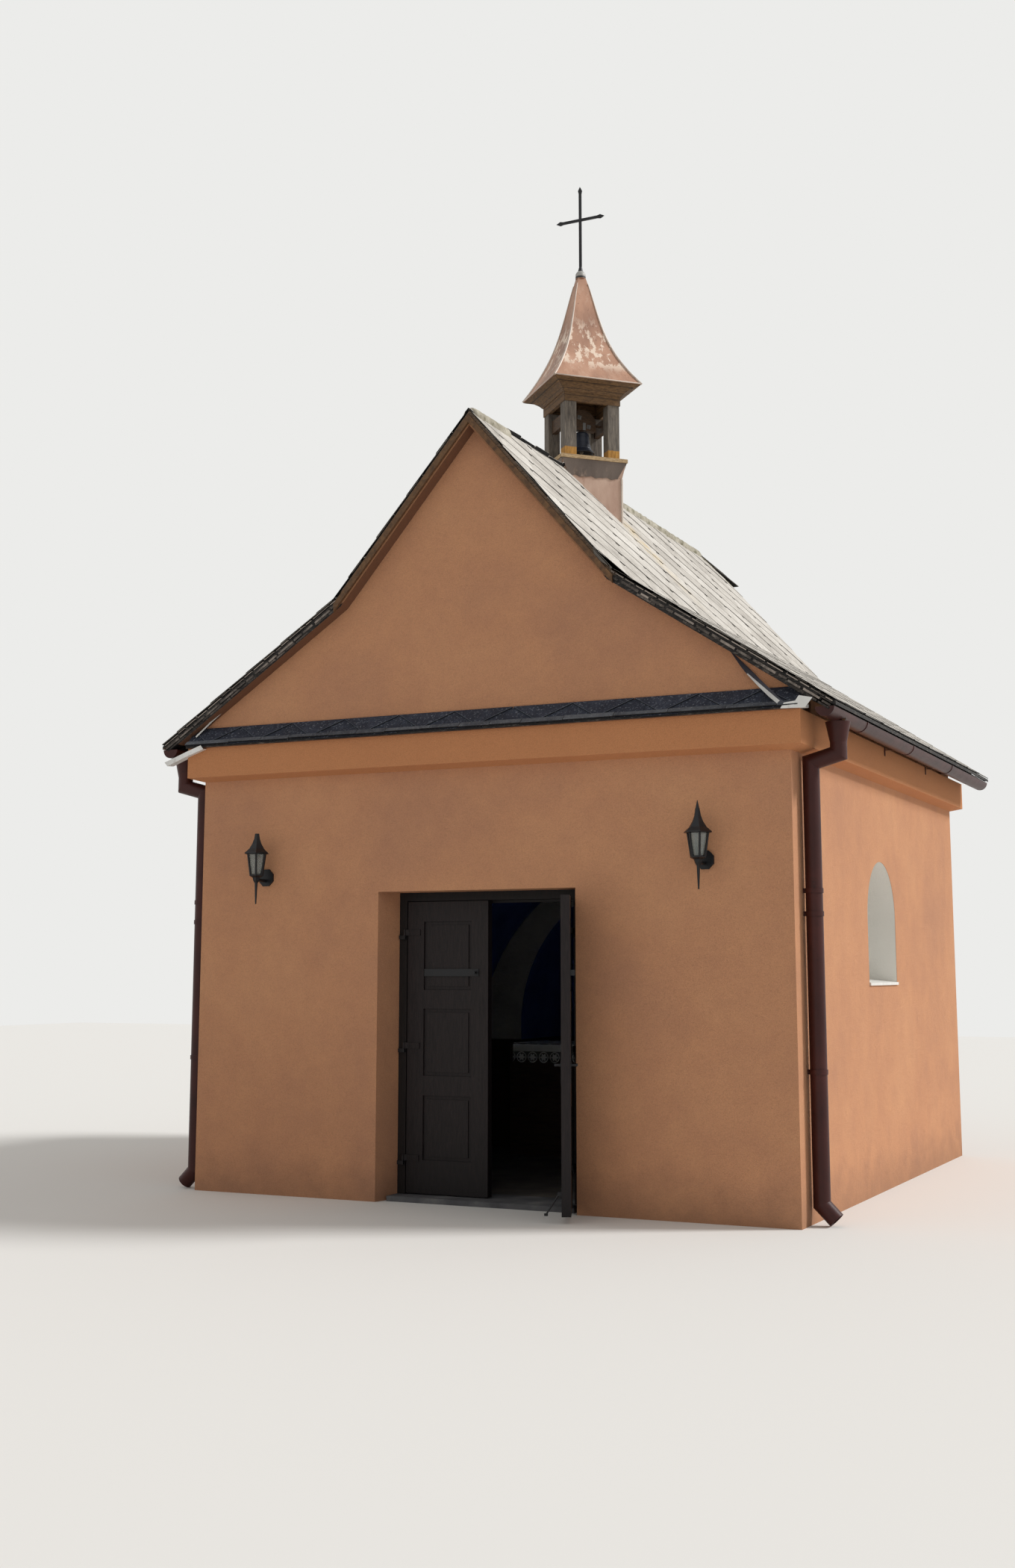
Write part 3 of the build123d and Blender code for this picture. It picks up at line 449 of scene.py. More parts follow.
def makeMortar():
    look = Look("ridge_mortar", specular=0.2)
    clouds = look.noise(9, detail=8, roughness=0.65)
    moss = look.step(look.noise(14, detail=7, roughness=0.7), 0.5, 0.62)
    colour = look.blend(clouds, (132, 124, 108), (196, 190, 174))
    colour = look.tint(colour, moss, 0.65, (92, 92, 62))
    look.finish(colour, (clouds, 0.85, 0.97), (clouds, 0.012), (look.noise(160, detail=5), 0.003))


def makeWood(name, dark, light, along, roughness, depth=0.001, wear=None, specular=0.4):
    # along is the stretch that lays the grain in the board's direction
    look = Look(name, specular=specular)
    grain = look.noise(9, vector=look.stretched(along), detail=8, roughness=0.6, distortion=0.8)
    fine = look.noise(70, vector=look.stretched(along))
    colour = look.ramp(grain, (0.32, dark), (0.68, light))
    colour = look.mix(0.35, colour, look.ramp(fine, (0.35, 0.7), (0.6, 1.0)), "MULTIPLY")
    if wear:
        colour = wear(look, colour, grain)
    look.finish(colour, (grain, *roughness), (grain, depth), (fine, depth * 0.6))


def doorShade(look, colour, grain):
    # painted shade: the leaves are darker low down
    low = look.step(look.plus(look.z, look.times(grain, 0.1)), 0.75, 0.05)
    return look.tint(colour, low, 0.6, (15, 13, 14))


def ochreFeet(look, colour, grain):
    # the posts keep old ochre paint on their feet
    edge = look.plus(look.z, look.times(grain, 0.02))
    feet = look.step(edge, sillHigh.z + 0.09, sillHigh.z + 0.082)
    return look.tint(colour, feet, 0.9, look.blend(grain, (150, 104, 40), (206, 152, 66)))


def boardLines(look, colour, grain):
    # dark joints between the frieze boards, the flare's boards and at the mitred corners
    for level in (0.3, 0.335, 0.62, 0.86):
        at = headLow.z + (headHigh.z - headLow.z) * level
        colour = look.tint(colour, look.within(look.z, at, 0.0015, 0.0015), 0.85, (30, 21, 16))
    for corner in (look.x, look.minus(look.y, turretY)):
        colour = look.tint(colour, look.within(corner, 0, 0.0015, 0.0015), 0.85, (30, 21, 16))
    return colour


def nailHeads(look, colour, grain):
    # a dark dot for each nail
    return look.mix(look.step(look.cells(13), 0.12, 0.08), colour, (46, 34, 26))


def makeMetal(name, base, faded, rust, amount, roughness, metallic=0.0, stretch=1, specular=0.5):
    look = Look(name, metallic=metallic, specular=specular)
    drawn = look.stretched((1, 1, stretch))
    clouds = look.noise(4, detail=7, vector=drawn)
    blots = look.noise(14, detail=8, roughness=0.7, vector=drawn)
    colour = look.ramp(clouds, (0.3, base), (0.72, faded))
    colour = look.tint(colour, look.step(blots, 0.55, 0.7), amount, rust)
    look.finish(colour, (blots, *roughness), (blots, 0.001), (look.noise(90), 0.0006))


def makeSpire():
    # old brown paint on sheet, flaking to pale primer, with dark water marks
    look = Look("spire_sheet", metallic=0.15)
    clouds = look.noise(3.2, detail=6, vector=look.stretched((1, 1, 0.5)))
    flakes = look.noise(16, detail=9, roughness=0.72, vector=look.stretched((1, 1, 0.45)))
    colour = look.ramp(clouds, (0.3, (136, 98, 78)), (0.55, (182, 138, 112)), (0.75, (206, 166, 142)))
    up = look.minus(look.z, spireLow.z)
    height = look.times(look.step(up, 0.08, 0.2), look.step(up, 0.62, 0.4))
    bare = look.times(look.step(flakes, 0.51, 0.57), look.plus(look.times(height, 0.8), 0.1))
    colour = look.mix(bare, colour, (232, 212, 192))
    colour = look.tint(colour, look.step(look.noise(30, detail=6), 0.6, 0.7), 0.5, (84, 52, 42))
    # the collar under the cross is bare zinc, with a dark foot
    zinc = look.blend(clouds, (138, 136, 132), (196, 194, 190))
    colour = look.mix(look.step(look.z, spireHigh.z - 0.071, spireHigh.z - 0.069), colour, (40, 36, 36))
    colour = look.mix(look.step(look.z, spireHigh.z - 0.056, spireHigh.z - 0.05), colour, zinc)
    look.finish(colour, (flakes, 0.42, 0.68), (clouds, 0.004), (flakes, 0.0012))


def makeGlass(name, tint, roughness):
    look = Look(name)
    film = look.noise(5, detail=6)
    look.shader.inputs["Transmission Weight"].default_value = 0.75
    look.shader.inputs["IOR"].default_value = 1.45
    colour = look.blend(film, tint, (226, 230, 228))
    look.finish(colour, (film, roughness, roughness + 0.12), (look.noise(3, detail=2), 0.001))


def makeCloth():
    # plain weave on the table, a net with white rosettes on the drop in front
    look = Look("altar_cloth", specular=0.2)
    across = look.minus(look.math("FRACT", look.plus(look.math("DIVIDE", look.x, lace["rosette"]), 100.5)), 0.5)
    across = look.times(across, lace["rosette"])
    up = look.minus(look.z, lace["middle"])
    away = look.math("SQRT", look.plus(look.times(across, across), look.times(up, up)))
    petals = look.math("COSINE", look.times(look.math("ARCTAN2", up, across), 6))
    flower = look.step(look.minus(away, look.times(petals, 0.006)), 0.027, 0.024)
    ring = look.within(away, 0.041, 0.003, 0.001)
    threads = look.times(look.math("SINE", look.times(look.x, lace["yarn"])),
                         look.math("SINE", look.times(look.z, lace["yarn"])))
    net = look.mix(look.step(threads, -0.2, 0.5), (96, 94, 92), (150, 148, 145))
    lacy = look.mix(look.math("MAXIMUM", flower, ring), net, (238, 237, 233))
    folds = look.noise(3)
    plain = look.blend(folds, (206, 205, 201), (236, 235, 231))
    look.shader.inputs["Sheen Weight"].default_value = 0.2
    colour = look.mix(look.step(look.z, lace["middle"] + 0.05, lace["middle"] + 0.045), plain, lacy)
    look.finish(colour, (folds, 0.8, 0.95), (flower, 0.0015), (threads, 0.0005))


makeWall("wall_render")
makeWall("cornice_render", 0.75)
makeInside()
makeAltar()
# the step's concrete is darkened to how it looks in shade: painted shade
makeConcrete("step_concrete_painted_shade", (58, 58, 62), (92, 92, 94), (132, 130, 126))
makeConcrete("floor_tiles", (58, 52, 48), (82, 75, 68), (104, 96, 88))
makeSlate("roof_slate", (142, 136, 128), (186, 180, 171), (216, 211, 203), 0.45, 0.1, streak=rustRun)
makeSlate("pent_slate", (24, 27, 36), (38, 42, 54), (58, 64, 78), 0.6, 0.04, (150, 156, 166), (96, 102, 112))
makeSlate("strip_slate", (40, 42, 48), (66, 69, 76), (98, 102, 108), 0.5, 0.3, (150, 152, 156))
makeSlate("verge_slate", (34, 31, 29), (84, 77, 72), (172, 160, 150), 0.3, 0.6, edge=None)
makeUnderRoof()
makeMortar()
makeWood("door_paint", (26, 21, 22), (42, 35, 35), (9, 9, 1), (0.4, 0.55), wear=doorShade, specular=0.2)
makeWood("frame_paint", (18, 15, 15), (30, 25, 24), (9, 9, 1), (0.45, 0.6), specular=0.2)
makeWood("barge_paint", (72, 50, 32), (118, 86, 56), (3, 8, 3), (0.6, 0.8), 0.002)
makeWood("post_wood", (70, 64, 60), (134, 124, 112), (10, 10, 1), (0.7, 0.9), 0.003, ochreFeet)
makeWood("head_wood", (72, 52, 34), (128, 96, 62), (3, 3, 12), (0.6, 0.8), 0.0015, boardLines)
# the rails and the yoke take a darker copy of the head's wood: painted shade under the head
makeWood("turret_wood_painted_shade", (50, 36, 26), (92, 68, 46), (3, 3, 12), (0.6, 0.8), 0.0015)
makeWood("sill_wood", (138, 110, 76), (204, 176, 134), (3, 3, 12), (0.6, 0.8), 0.0015, nailHeads)
makeWood("white_paint", (206, 204, 198), (238, 236, 230), (9, 9, 1), (0.45, 0.6), 0.0006)
makeMetal("gutter_paint", (50, 22, 20), (68, 31, 27), (30, 15, 14), 0.5, (0.36, 0.5), specular=0.25)
makeMetal("base_sheet", (160, 124, 106), (212, 184, 164), (138, 94, 74), 0.6, (0.5, 0.75), stretch=0.4)
makeMetal("apron_zinc", (74, 61, 54), (116, 102, 92), (168, 142, 124), 0.5, (0.45, 0.65), stretch=0.4)
# two copies of one zinc: a near-white one painted as lit and a dark one painted as in shade
makeMetal("flashing_zinc_painted_light", (206, 206, 202), (240, 239, 236), (150, 144, 132), 0.35, (0.4, 0.6))
makeMetal("flashing_shade", (58, 58, 68), (84, 84, 94), (40, 38, 42), 0.5, (0.4, 0.6))
makeSpire()
makeMetal("hip_roll", (178, 160, 146), (216, 204, 192), (110, 80, 64), 0.6, (0.4, 0.6), 0.2, 0.3)
makeMetal("black_iron", (12, 12, 15), (22, 22, 26), (30, 25, 23), 0.4, (0.35, 0.5), specular=0.35)
makeMetal("worn_steel", (96, 94, 92), (128, 126, 122), (70, 56, 46), 0.5, (0.35, 0.55), 0.7)
makeMetal("bell_paint", (20, 25, 38), (34, 41, 58), (52, 50, 52), 0.4, (0.4, 0.6))
makeGlass("pane_glass", (170, 186, 190), 0.05)
makeGlass("lamp_glass", (182, 190, 186), 0.12)
makeCloth()
print("materials:", len(looks))

nodeLooks = {
    "wall_render": """front_wall_left front_wall_right front_wall_over_door front_gable left_wall right_wall back_wall
                      back_gable""",
    "cornice_render": "cornice_front cornice_back cornice_left cornice_right",
    "inside_limewash": "vault_left vault_right chancel_arch",
    "altar_board": "altar",
    "step_concrete_painted_shade": "threshold",
    "floor_tiles": "floor_slab",
    "roof_boards": "roof_left roof_right roof_hip pent_roof",
    "ridge_mortar": "ridge_cap",
    "frame_paint": "door_frame",
    "door_paint": "door_leaf_left door_leaf_right",
    "barge_paint": "barge_boards_front barge_boards_back",
    "post_wood": "turret_posts",
    "head_wood": "turret_head",
    "turret_wood_painted_shade": "turret_rails bell_yoke",
    "sill_wood": "turret_sill",
    "white_paint": "window_frames window_sills",
    "gutter_paint": "gutter_left gutter_right downpipe_left downpipe_right downpipe_bends downpipe_shoes",
    "base_sheet": "turret_base",
    "spire_sheet": "spire",
    "black_iron": """lantern_left lantern_right cross hasp_bar hasp_staple hinge_pins stay_bracket door_stay
                     door_handle""",
    "worn_steel": "clapper",
    "bell_paint": "bell",
    "pane_glass": "window_panes",
    "lamp_glass": "lantern_glass",
}
for look, nodes in nodeLooks.items():
    for name in nodes.split():
        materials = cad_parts[name].data.materials
        materials.clear()
        materials.append(looks[look])

# the roof's slates


def upSlope(side, low, high):
    # the way up one side of the roof between two of its lines
    return Vector((side * (high.x - low.x), 0, high.z - low.z)).normalized()


def upward(way):
    return way if way.z > 0 else -way


def basisOf(columns):
    # matrix from three axes and a place, kept right-handed
    if columns[0].cross(columns[1]).dot(columns[2]) < 0:
        columns = (-columns[0], *columns[1:])
    matrix = Matrix.Identity(4)
    for row in range(3):
        for column in range(4):
            matrix[row][column] = columns[column][row]
    return matrix


def modelDiamond():
    # a square plate on its corner, lowest corner at the origin, with its two side corners cut off
    half = roof["side"] / math.sqrt(2)
    thick = roof["thick"]
    plate = addCube((roof["side"], roof["side"], thick), (0, half, thick / 2), (0, 0, math.pi / 4))
    applyPlace(plate)
    for side in (1, -1):
        trim(plate, (side * (half - roof["cutCorner"]), 0, 0), (side, 0, 0))

    def lowerEdge(middle, way):
        return middle.y < half * 0.9 and middle.z > thick * 0.9 and abs(way.x) > 0.5
    bevelEdges(plate, 0.0016, 1, lowerEdge)
    return plate


def layDiamonds(plate, origin, across, up, widths, heights, first=0.0):
    # rows of diamonds on the plane through origin, each row half a step along from the one below
    step = roof["across"]
    out = upward(across.cross(up).normalized())
    laid = []
    row = 0
    high = heights[0]
    while high < heights[1]:
        at = widths[0] + first + (step / 2 if row % 2 else 0.0) - step
        while at < widths[1] + step:
            tilt = roof["lift"] * random.uniform(0.85, 1.2)
            head = (up * roof["side"] * math.sqrt(2) - out * tilt).normalized()
            side = head.cross(out).normalized()
            face = upward(side.cross(head).normalized())
            shift, slip = (jitter(roof["shift"]) for number in range(2))
            place = origin + across * (at + shift) + up * (high + slip) + out * tilt
            turn = Matrix.Rotation(jitter(roof["turn"]), 4, "Z")
            laid.append(copyTo(plate, basisOf((side, head, face, place)) @ turn, random.random()))
            at += step
        high += roof["rise"]
        row += 1
    return laid


def slatedSide(plate, side):
    back = Vector((0, 1, 0))
    start = Vector((side * eavePoint.x, roofLow.y, eavePoint.z))
    kick = Vector((side * kickPoint.x, roofLow.y, kickPoint.z))
    lowerUp = upSlope(side, eavePoint, kickPoint)
    upperUp = upSlope(side, kickPoint, ridgePoint)
    length = roofHigh.y - roofLow.y
    rows = int(lowerRun / roof["rise"])
    lower = joinAll(layDiamonds(plate, start, back, lowerUp, (0, length), (-0.2, lowerRun - 0.02)))
    trim(lower, start + lowerUp * roof["foot"], -lowerUp)
    trim(lower, kick + lowerUp * roof["head"], lowerUp)
    above = -0.2 + roof["rise"] * math.ceil((lowerRun + 0.18) / roof["rise"])
    heights = (above - lowerRun - 2 * roof["rise"], upperRun + 0.2)
    first = (rows % 2) * roof["across"] / 2
    upper = joinAll(layDiamonds(plate, kick, back, upperUp, (0, length), heights, first))
    trim(upper, kick, -upperUp)
    trim(upper, (side * 0.004, 0, 0), (-side, 0, 0))
    piece = joinAll([lower, upper])
    trim(piece, (0, roofLow.y - roof["overhang"], 0), (0, -1, 0))
    trim(piece, (0, roofHigh.y + roof["overhang"], 0), (0, 1, 0))
    trim(piece, (0, hipStart, roofHigh.z + 0.012), (0, 1, 1))
    return piece


diamond = modelDiamond()
for side, word in ((1, "right"), (-1, "left")):
    settle(slatedSide(diamond, side), "slates_" + word, "roof_slate")


def slatedHip(plate):
    # the small hip at the back of the ridge
    up = Vector((0, -1, 1)).normalized()
    run = (roofHigh.y - hipStart) * math.sqrt(2)
    foot = Vector((0, roofHigh.y, roofHigh.z - (roofHigh.y - hipStart)))
    piece = joinAll(layDiamonds(plate, foot, Vector((1, 0, 0)), up, (-0.4, 0.4), (-0.2, run), 0.17))
    trim(piece, foot - up * 0.006, -up)
    for side in (1, -1):
        trim(piece, (side * 0.012, hipStart, roofHigh.z), (side * upperFall, -1, 0))
    return piece


settle(slatedHip(diamond), "slates_hip", "roof_slate")
print("roof slates laid")

# slate ends stacked under the lower half of each verge

# the layers set further back take darker tones: painted shade
verge = {
    "layers": ((0.012, 0.006, 0.015, 0.85), (0.027, 0.009, 0.004, 0.3), (0.046, 0.015, 0.012, 0.6),
               (0.064, 0.014, 0.008, 0.4)),
    "length": (0.06, 0.2), "width": 0.1, "ragged": 0.012, "sink": (-0.2, 0.15), "gap": (0.003, 0.009),
}


def modelEnd():
    # one slate end, a metre in each direction, with its two outer corners knocked off
    end = addCube((1, 1, 1), (0, 0.5, 0.5))
    bevelEdges(end, 0.07, 1, lambda middle, way: middle.y < -0.4 and abs(way.z) > 0.9)
    return applyPlace(end)


def layVerge(end, side, face, edge):
    # each layer is its depth under the roof, its thickness, its reach and its tone; the less a layer reaches out, the
    # darker its tone, as painted shade
    laid = []
    up = upSlope(side, eavePoint, kickPoint)
    out = upward(Vector((0, face, 0)).cross(up).normalized())
    start = Vector((side * eavePoint.x, edge, eavePoint.z)) + up * roof["foot"]
    for depth, thick, reach, tone in verge["layers"]:
        at = 0.0
        while at < lowerRun - 0.02:
            length = min(random.uniform(*verge["length"]), lowerRun - at)
            ragged = random.uniform(-verge["ragged"], 0)
            sunk = depth + random.uniform(*verge["sink"]) * thick
            place = start + up * (at + length / 2) - out * sunk + Vector((0, face * (reach + ragged), 0))
            along = up * (length - random.uniform(*verge["gap"]))
            columns = (along, Vector((0, -face, 0)) * verge["width"], out * thick * random.uniform(0.85, 1.1), place)
            laid.append(copyTo(end, basisOf(columns), tone * random.uniform(0.6, 1.05)))
            at += length
    return laid


slateEnd = modelEnd()
stacks = []
for side in (1, -1):
    stacks += layVerge(slateEnd, side, -1, roofLow.y) + layVerge(slateEnd, side, 1, roofHigh.y)
settle(joinAll(stacks), "verge_slates", "verge_slate")
dropPiece(slateEnd)

# mortar along the ridge and the two arrises of the hip

ridge = {
    "radius": 0.062, "thin": 0.024, "drop": 0.03, "rough": 0.32, "worn": (-1.9, -0.84),
    "plate": (0.25, 0.17, 0.007), "over": 0.042, "lift": 0.028,
}


def layMortar(start, end, radius, name):
    way = end - start
    piece = addCylinder(radius, way.length, (start + end) / 2, way.to_track_quat("Z", "Y").to_euler(), 18)
    applyPlace(piece)
    softEdges(piece, radius * 0.4, 3)
    count = max(int(way.length / 0.06), 2)
    for cut in range(1, count):
        trim(piece, start + way * (cut / count), way.normalized(), clear=False)
    applyModifier(piece, "SUBSURF", levels=1, render_levels=1)
    lumps = bpy.data.textures.new(name, "CLOUDS")
    lumps.noise_scale = 0.06
    lumps.noise_depth = 4
    applyModifier(piece, "DISPLACE", texture=lumps, strength=radius * ridge["rough"], mid_level=0.6)
    return smooth(piece, 60)


def ridgeRun(y0, y1, radius, name):
    level = roofHigh.z - ridge["drop"]
    return layMortar(Vector((0, y0, level)), Vector((0, y1, level)), radius, name)


hipFoot = (roofHigh.y - hipStart) / upperFall
mortar = [
    ridgeRun(roofLow.y + 0.008, ridge["worn"][0], ridge["radius"], "front_lumps"),
    ridgeRun(ridge["worn"][0] - 0.02, turretY, ridge["thin"], "worn_lumps"),
    ridgeRun(turretY, hipStart, ridge["radius"], "back_lumps"),
]
for side in (1, -1):
    foot = Vector((side * hipFoot, roofHigh.y - 0.03, roofHigh.z - (roofHigh.y - hipStart) - 0.01))
    mortar.append(layMortar(Vector((0, hipStart - 0.02, roofHigh.z - 0.01)), foot, ridge["thin"], "hip_lumps"))
settle(joinAll(mortar), "ridge_mortar", "ridge_mortar", nodes=["ridge_cap"])


def modelRidgePlate():
    # one slate of the left side's top course, lying on its slope, upper edge at the origin
    length, width, thick = ridge["plate"]
    plate = addCube((length - 0.004, width, thick), (0, -width / 2, -thick / 2))
    bevelEdges(plate, 0.012, 2, lambda middle, way: middle.y > -0.01 and abs(way.z) > 0.9)
    return applyPlace(plate)


def layRidgePlates(plate):
    # they reach past the ridge, so their undersides, painted near-black as shade, make the dark band over the right
    # slope
    up = upSlope(-1, kickPoint, ridgePoint)
    out = Vector((-up.z, 0, up.x))
    laid = []
    at = ridge["worn"][0]
    while at < ridge["worn"][1]:
        reach = ridge["over"] + random.uniform(-0.008, 0.006)
        lift = ridge["lift"] + random.uniform(-0.002, 0.004)
        place = Vector((0, at + ridge["plate"][0] / 2, roofHigh.z)) + up * reach + out * lift
        turn = Matrix.Rotation(jitter(0.03), 4, "Z")
        laid.append(copyTo(plate, basisOf((Vector((0, 1, 0)), up, out, place)) @ turn, random.random()))
        at += ridge["plate"][0]
    return laid


ridgePlate = modelRidgePlate()
settle(joinAll(layRidgePlates(ridgePlate)), "ridge_slates", "roof_slate")
dropPiece(ridgePlate)
print("verges, hip and ridge done")

# the narrow shelf over the cornice: a doubled edge course and one row of diamonds that fills its height

shelf = {"first": 1.86, "step": 0.445, "width": (0.22, 0.4), "thick": 0.007, "plate": 1.2, "strip": 0.036,
         "edge": 0.014}
pentLow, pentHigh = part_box("pent_roof")
shelfFoot = Vector((0, pentLow.y, pentLow.z + shelf["edge"]))
shelfUp = Vector((0, pentHigh.y - pentLow.y, pentHigh.z - pentLow.z - shelf["edge"]))
shelfRun = shelfUp.length
shelfUp.normalize()
shelfOut = Vector((0, -shelfUp.z, shelfUp.y))


def flatPiece(corners, thick, out):
    # a plate with its corners given in turn, extruded along out
    deselectAll()
    bpy.ops.mesh.primitive_circle_add(vertices=len(corners), radius=1, fill_type="NGON")
    piece = bpy.context.object
    for point, corner in zip(piece.data.vertices, corners):
        point.co = corner
    editAll(piece)
    bpy.ops.mesh.extrude_region_move(TRANSFORM_OT_translate={"value": tuple(out * thick)})
    bpy.ops.mesh.select_all(action="SELECT")
    bpy.ops.mesh.normals_make_consistent(inside=False)
    toMode("OBJECT")
    return piece


def onShelf(x, up, out):
    return shelfFoot + Vector((x, 0, 0)) + shelfUp * up + shelfOut * out


def slatedShelf(plate):
    reach = pentHigh.x
    base, strip = [], []
    for laid, top, out, lift in ((base, shelfRun, 0.0, 0.0), (strip, shelf["strip"], 0.011, 0.004)):
        x = -reach
        while x < reach:
            width = min(random.uniform(*shelf["width"]), reach - x)
            low = -random.uniform(0.002, 0.012)
            upper = top + (jitter(0.004) if out else 0.0)
            left, right = x + 0.002, x + width - 0.002
            corners = [onShelf(left, upper, out), onShelf(right, upper, out), onShelf(right, low, out + lift),
                       onShelf(left, low + jitter(0.004), out + lift)]
            laid.append(addTone(flatPiece(corners, shelf["thick"], shelfOut), random.uniform(0.2, 0.7) + 50 * lift))
            x += width
    # one row of plates stretched along the shelf, their points at its foot
    stretch = shelf["step"] / 2 / (shelfRun - 0.012)
    rows = []
    x = (shelf["first"] + reach) % shelf["step"] - reach - shelf["step"]
    while x < reach + shelf["step"]:
        place = onShelf(x + jitter(0.008), 0.01, shelf["thick"] + 0.003)
        columns = (Vector((stretch, 0, 0)), shelfUp, shelfOut * shelf["plate"], place)
        rows.append(copyTo(plate, basisOf(columns), random.uniform(0.3, 0.6)))
        x += shelf["step"]
    rows = joinAll(rows)
    trim(rows, onShelf(0, shelfRun, 0), shelfUp)
    pieces = (joinAll([rows] + base), joinAll(strip))
    for piece in pieces:
        for side in (1, -1):
            trim(piece, (side * reach, 0, 0), (side, 0, 0))
    return pieces


shelfSlates, shelfStrip = slatedShelf(diamond)
settle(shelfSlates, "slates_shelf", "pent_slate")
settle(shelfStrip, "shelf_edge", "strip_slate")
dropPiece(diamond)

# zinc strips from under each verge down over the shelf's ends to a folded spout in front of the cornice

zinc = {
    "thick": 0.0015,
    "low": ((1.861, -2.41, 3.591), (1.932, -2.42, 3.485), (1.973, -2.425, 3.433), (2.06, -2.45, 3.339),
            (2.135, -2.485, 3.267), (2.217, -2.53, 3.198)),
    "high": ((1.873, -2.402, 3.584), (1.962, -2.402, 3.493), (2.001, -2.404, 3.454), (2.05, -2.415, 3.401),
             (2.144, -2.45, 3.31), (2.236, -2.5, 3.223)),
    "lip": (0.0, 0.05, 0.2, 0.45, 0.6, 0.7), "front": -2.53, "back": -2.455,
    "spoutLow": ((2.221, 3.181), (2.3, 3.179), (2.345, 3.178), (2.382, 3.178)),
    "spoutHigh": ((2.245, 3.214), (2.319, 3.222), (2.343, 3.255), (2.43, 3.236)),
    "leftLow": ((-2.168, 3.166), (-2.295, 3.125), (-2.39, 3.091), (-2.487, 3.055)),
    "leftHigh": ((-2.19, 3.194), (-2.31, 3.154), (-2.41, 3.118), (-2.51, 3.083)),
    "leftStrip": ((-1.96, -2.41, 3.538), (-2.074, -2.42, 3.453), (-2.165, -2.43, 3.379), (-2.275, -2.47, 3.264)),
    "leftWidth": 0.012,
}


def ribbon(first, second):
    # a strip between two lines of points, given its thickness
    deselectAll()
    count = len(first)
    bpy.ops.mesh.primitive_grid_add(x_subdivisions=count - 1, y_subdivisions=1, size=1)
    piece = bpy.context.object
    for point in piece.data.vertices:
        column = round((point.co.x + 0.5) * (count - 1))
        point.co = (first if point.co.y < 0 else second)[column]
    applyModifier(piece, "SOLIDIFY", thickness=zinc["thick"], offset=0)
    editAll(piece)
    bpy.ops.mesh.remove_doubles(threshold=0.00005)
    bpy.ops.mesh.normals_make_consistent(inside=False)
    toMode("OBJECT")
    return piece


def spout(low, high):
    # a folded tray: front, floor and a lower back
    front = [Vector((x, zinc["front"], z)) for x, z in low]
    rim = [Vector((x, zinc["front"] - 0.004, z)) for x, z in high]
    back = [Vector((x, zinc["back"], z + 0.006)) for x, z in low]
    behind = [point + Vector((0, 0, 0.02)) for point in back]
    return [ribbon(*pair) for pair in ((front, rim), (front, back), (back, behind))]


stripLow, stripHigh = ([Vector(point) for point in zinc[key]] for key in ("low", "high"))
forward = Vector((0, -0.003, 0))
lip = [low + (high - low) * share + forward for low, high, share in zip(stripLow, stripHigh, zinc["lip"])]
edge = [point + forward for point in stripLow]
leftStrip = [Vector(point) for point in zinc["leftStrip"]]
leftTop = [point + Vector((-0.7, 0, 0.7)) * zinc["leftWidth"] for point in leftStrip]
# the lips, the left strip and the spouts take the zinc painted as lit; the gable strip takes it painted as in shade
bright = [ribbon(edge[2:], lip[2:]), ribbon(leftStrip, leftTop)]
bright += spout(zinc["spoutLow"], zinc["spoutHigh"]) + spout(zinc["leftLow"], zinc["leftHigh"])
settle(joinAll(bright), "corner_flashings", "flashing_zinc_painted_light")
settle(ribbon(stripLow, stripHigh), "gable_flashing", "flashing_shade")
print("shelf and flashings done")

# turret: rolled hips and eave edge on the spire, a scalloped zinc apron, corner strips and the bell's fittings

turret = {
    "spireHalf": 0.37, "profile": ((0.0, 0.37), (0.16, 0.27), (0.36, 0.18), (0.57, 0.12), (0.975, 0.032)),
    "roll": 0.0095, "rim": 0.005, "sheetFoot": 5.05, "strip": 0.01, "baseHalf": 0.245, "patch": (0.15, 5.25, 5.5),
    "apron": (5.424, 5.549), "apronHalf": (0.2505, 0.2755), "apronCut": 0.045, "apronCells": 40, "scallop": 0.015,
    "waves": ((0.6, 10, 1.7), (0.4, 19, 1)),
    "bands": ((5.812, 0.0605), (5.727, 0.0745), (5.686, 0.0965)), "band": 0.0026, "yokeFace": 0.03,
    "bolts": ((-0.03, 5.972), (0.05, 5.9)), "washer": (0.034, 0.004, 0.034), "strap": (0.026, 0.004, 0.062),
}
turretTurn = Matrix.Translation((0, turretY, 0)) @ Matrix.Rotation(math.pi / 4, 4, "Z")


def quarterTurn(quarter):
    return Matrix.Rotation(quarter * math.pi / 2, 4, "Z")


def roundBar(points, radius, closed=False, thin=0.0):
    # a round bar along the points, made a mesh
    curve = bpy.data.curves.new("bar", "CURVE")
    curve.dimensions = "3D"
    spline = curve.splines.new("POLY")
    spline.points.add(len(points) - 1)
    for number, (point, place) in enumerate(zip(spline.points, points)):
        point.co = (*place, 1)
        point.radius = 1 - thin * (number / (len(points) - 1)) ** 3
    spline.use_cyclic_u = closed
    curve.bevel_depth = radius
    curve.bevel_resolution = 2
    curve.use_fill_caps = True
    piece = bpy.data.objects.new("bar", curve)
    bpy.context.collection.objects.link(piece)
    only(piece)
    bpy.ops.object.convert(target="MESH")
    return bpy.context.object


def cornersOf(half):
    # the corners of a square that stands on the turret's axis, one of them to the front
    away = half * math.sqrt(2)
    return [(away, turretY), (0, turretY + away), (-away, turretY), (0, turretY - away)]


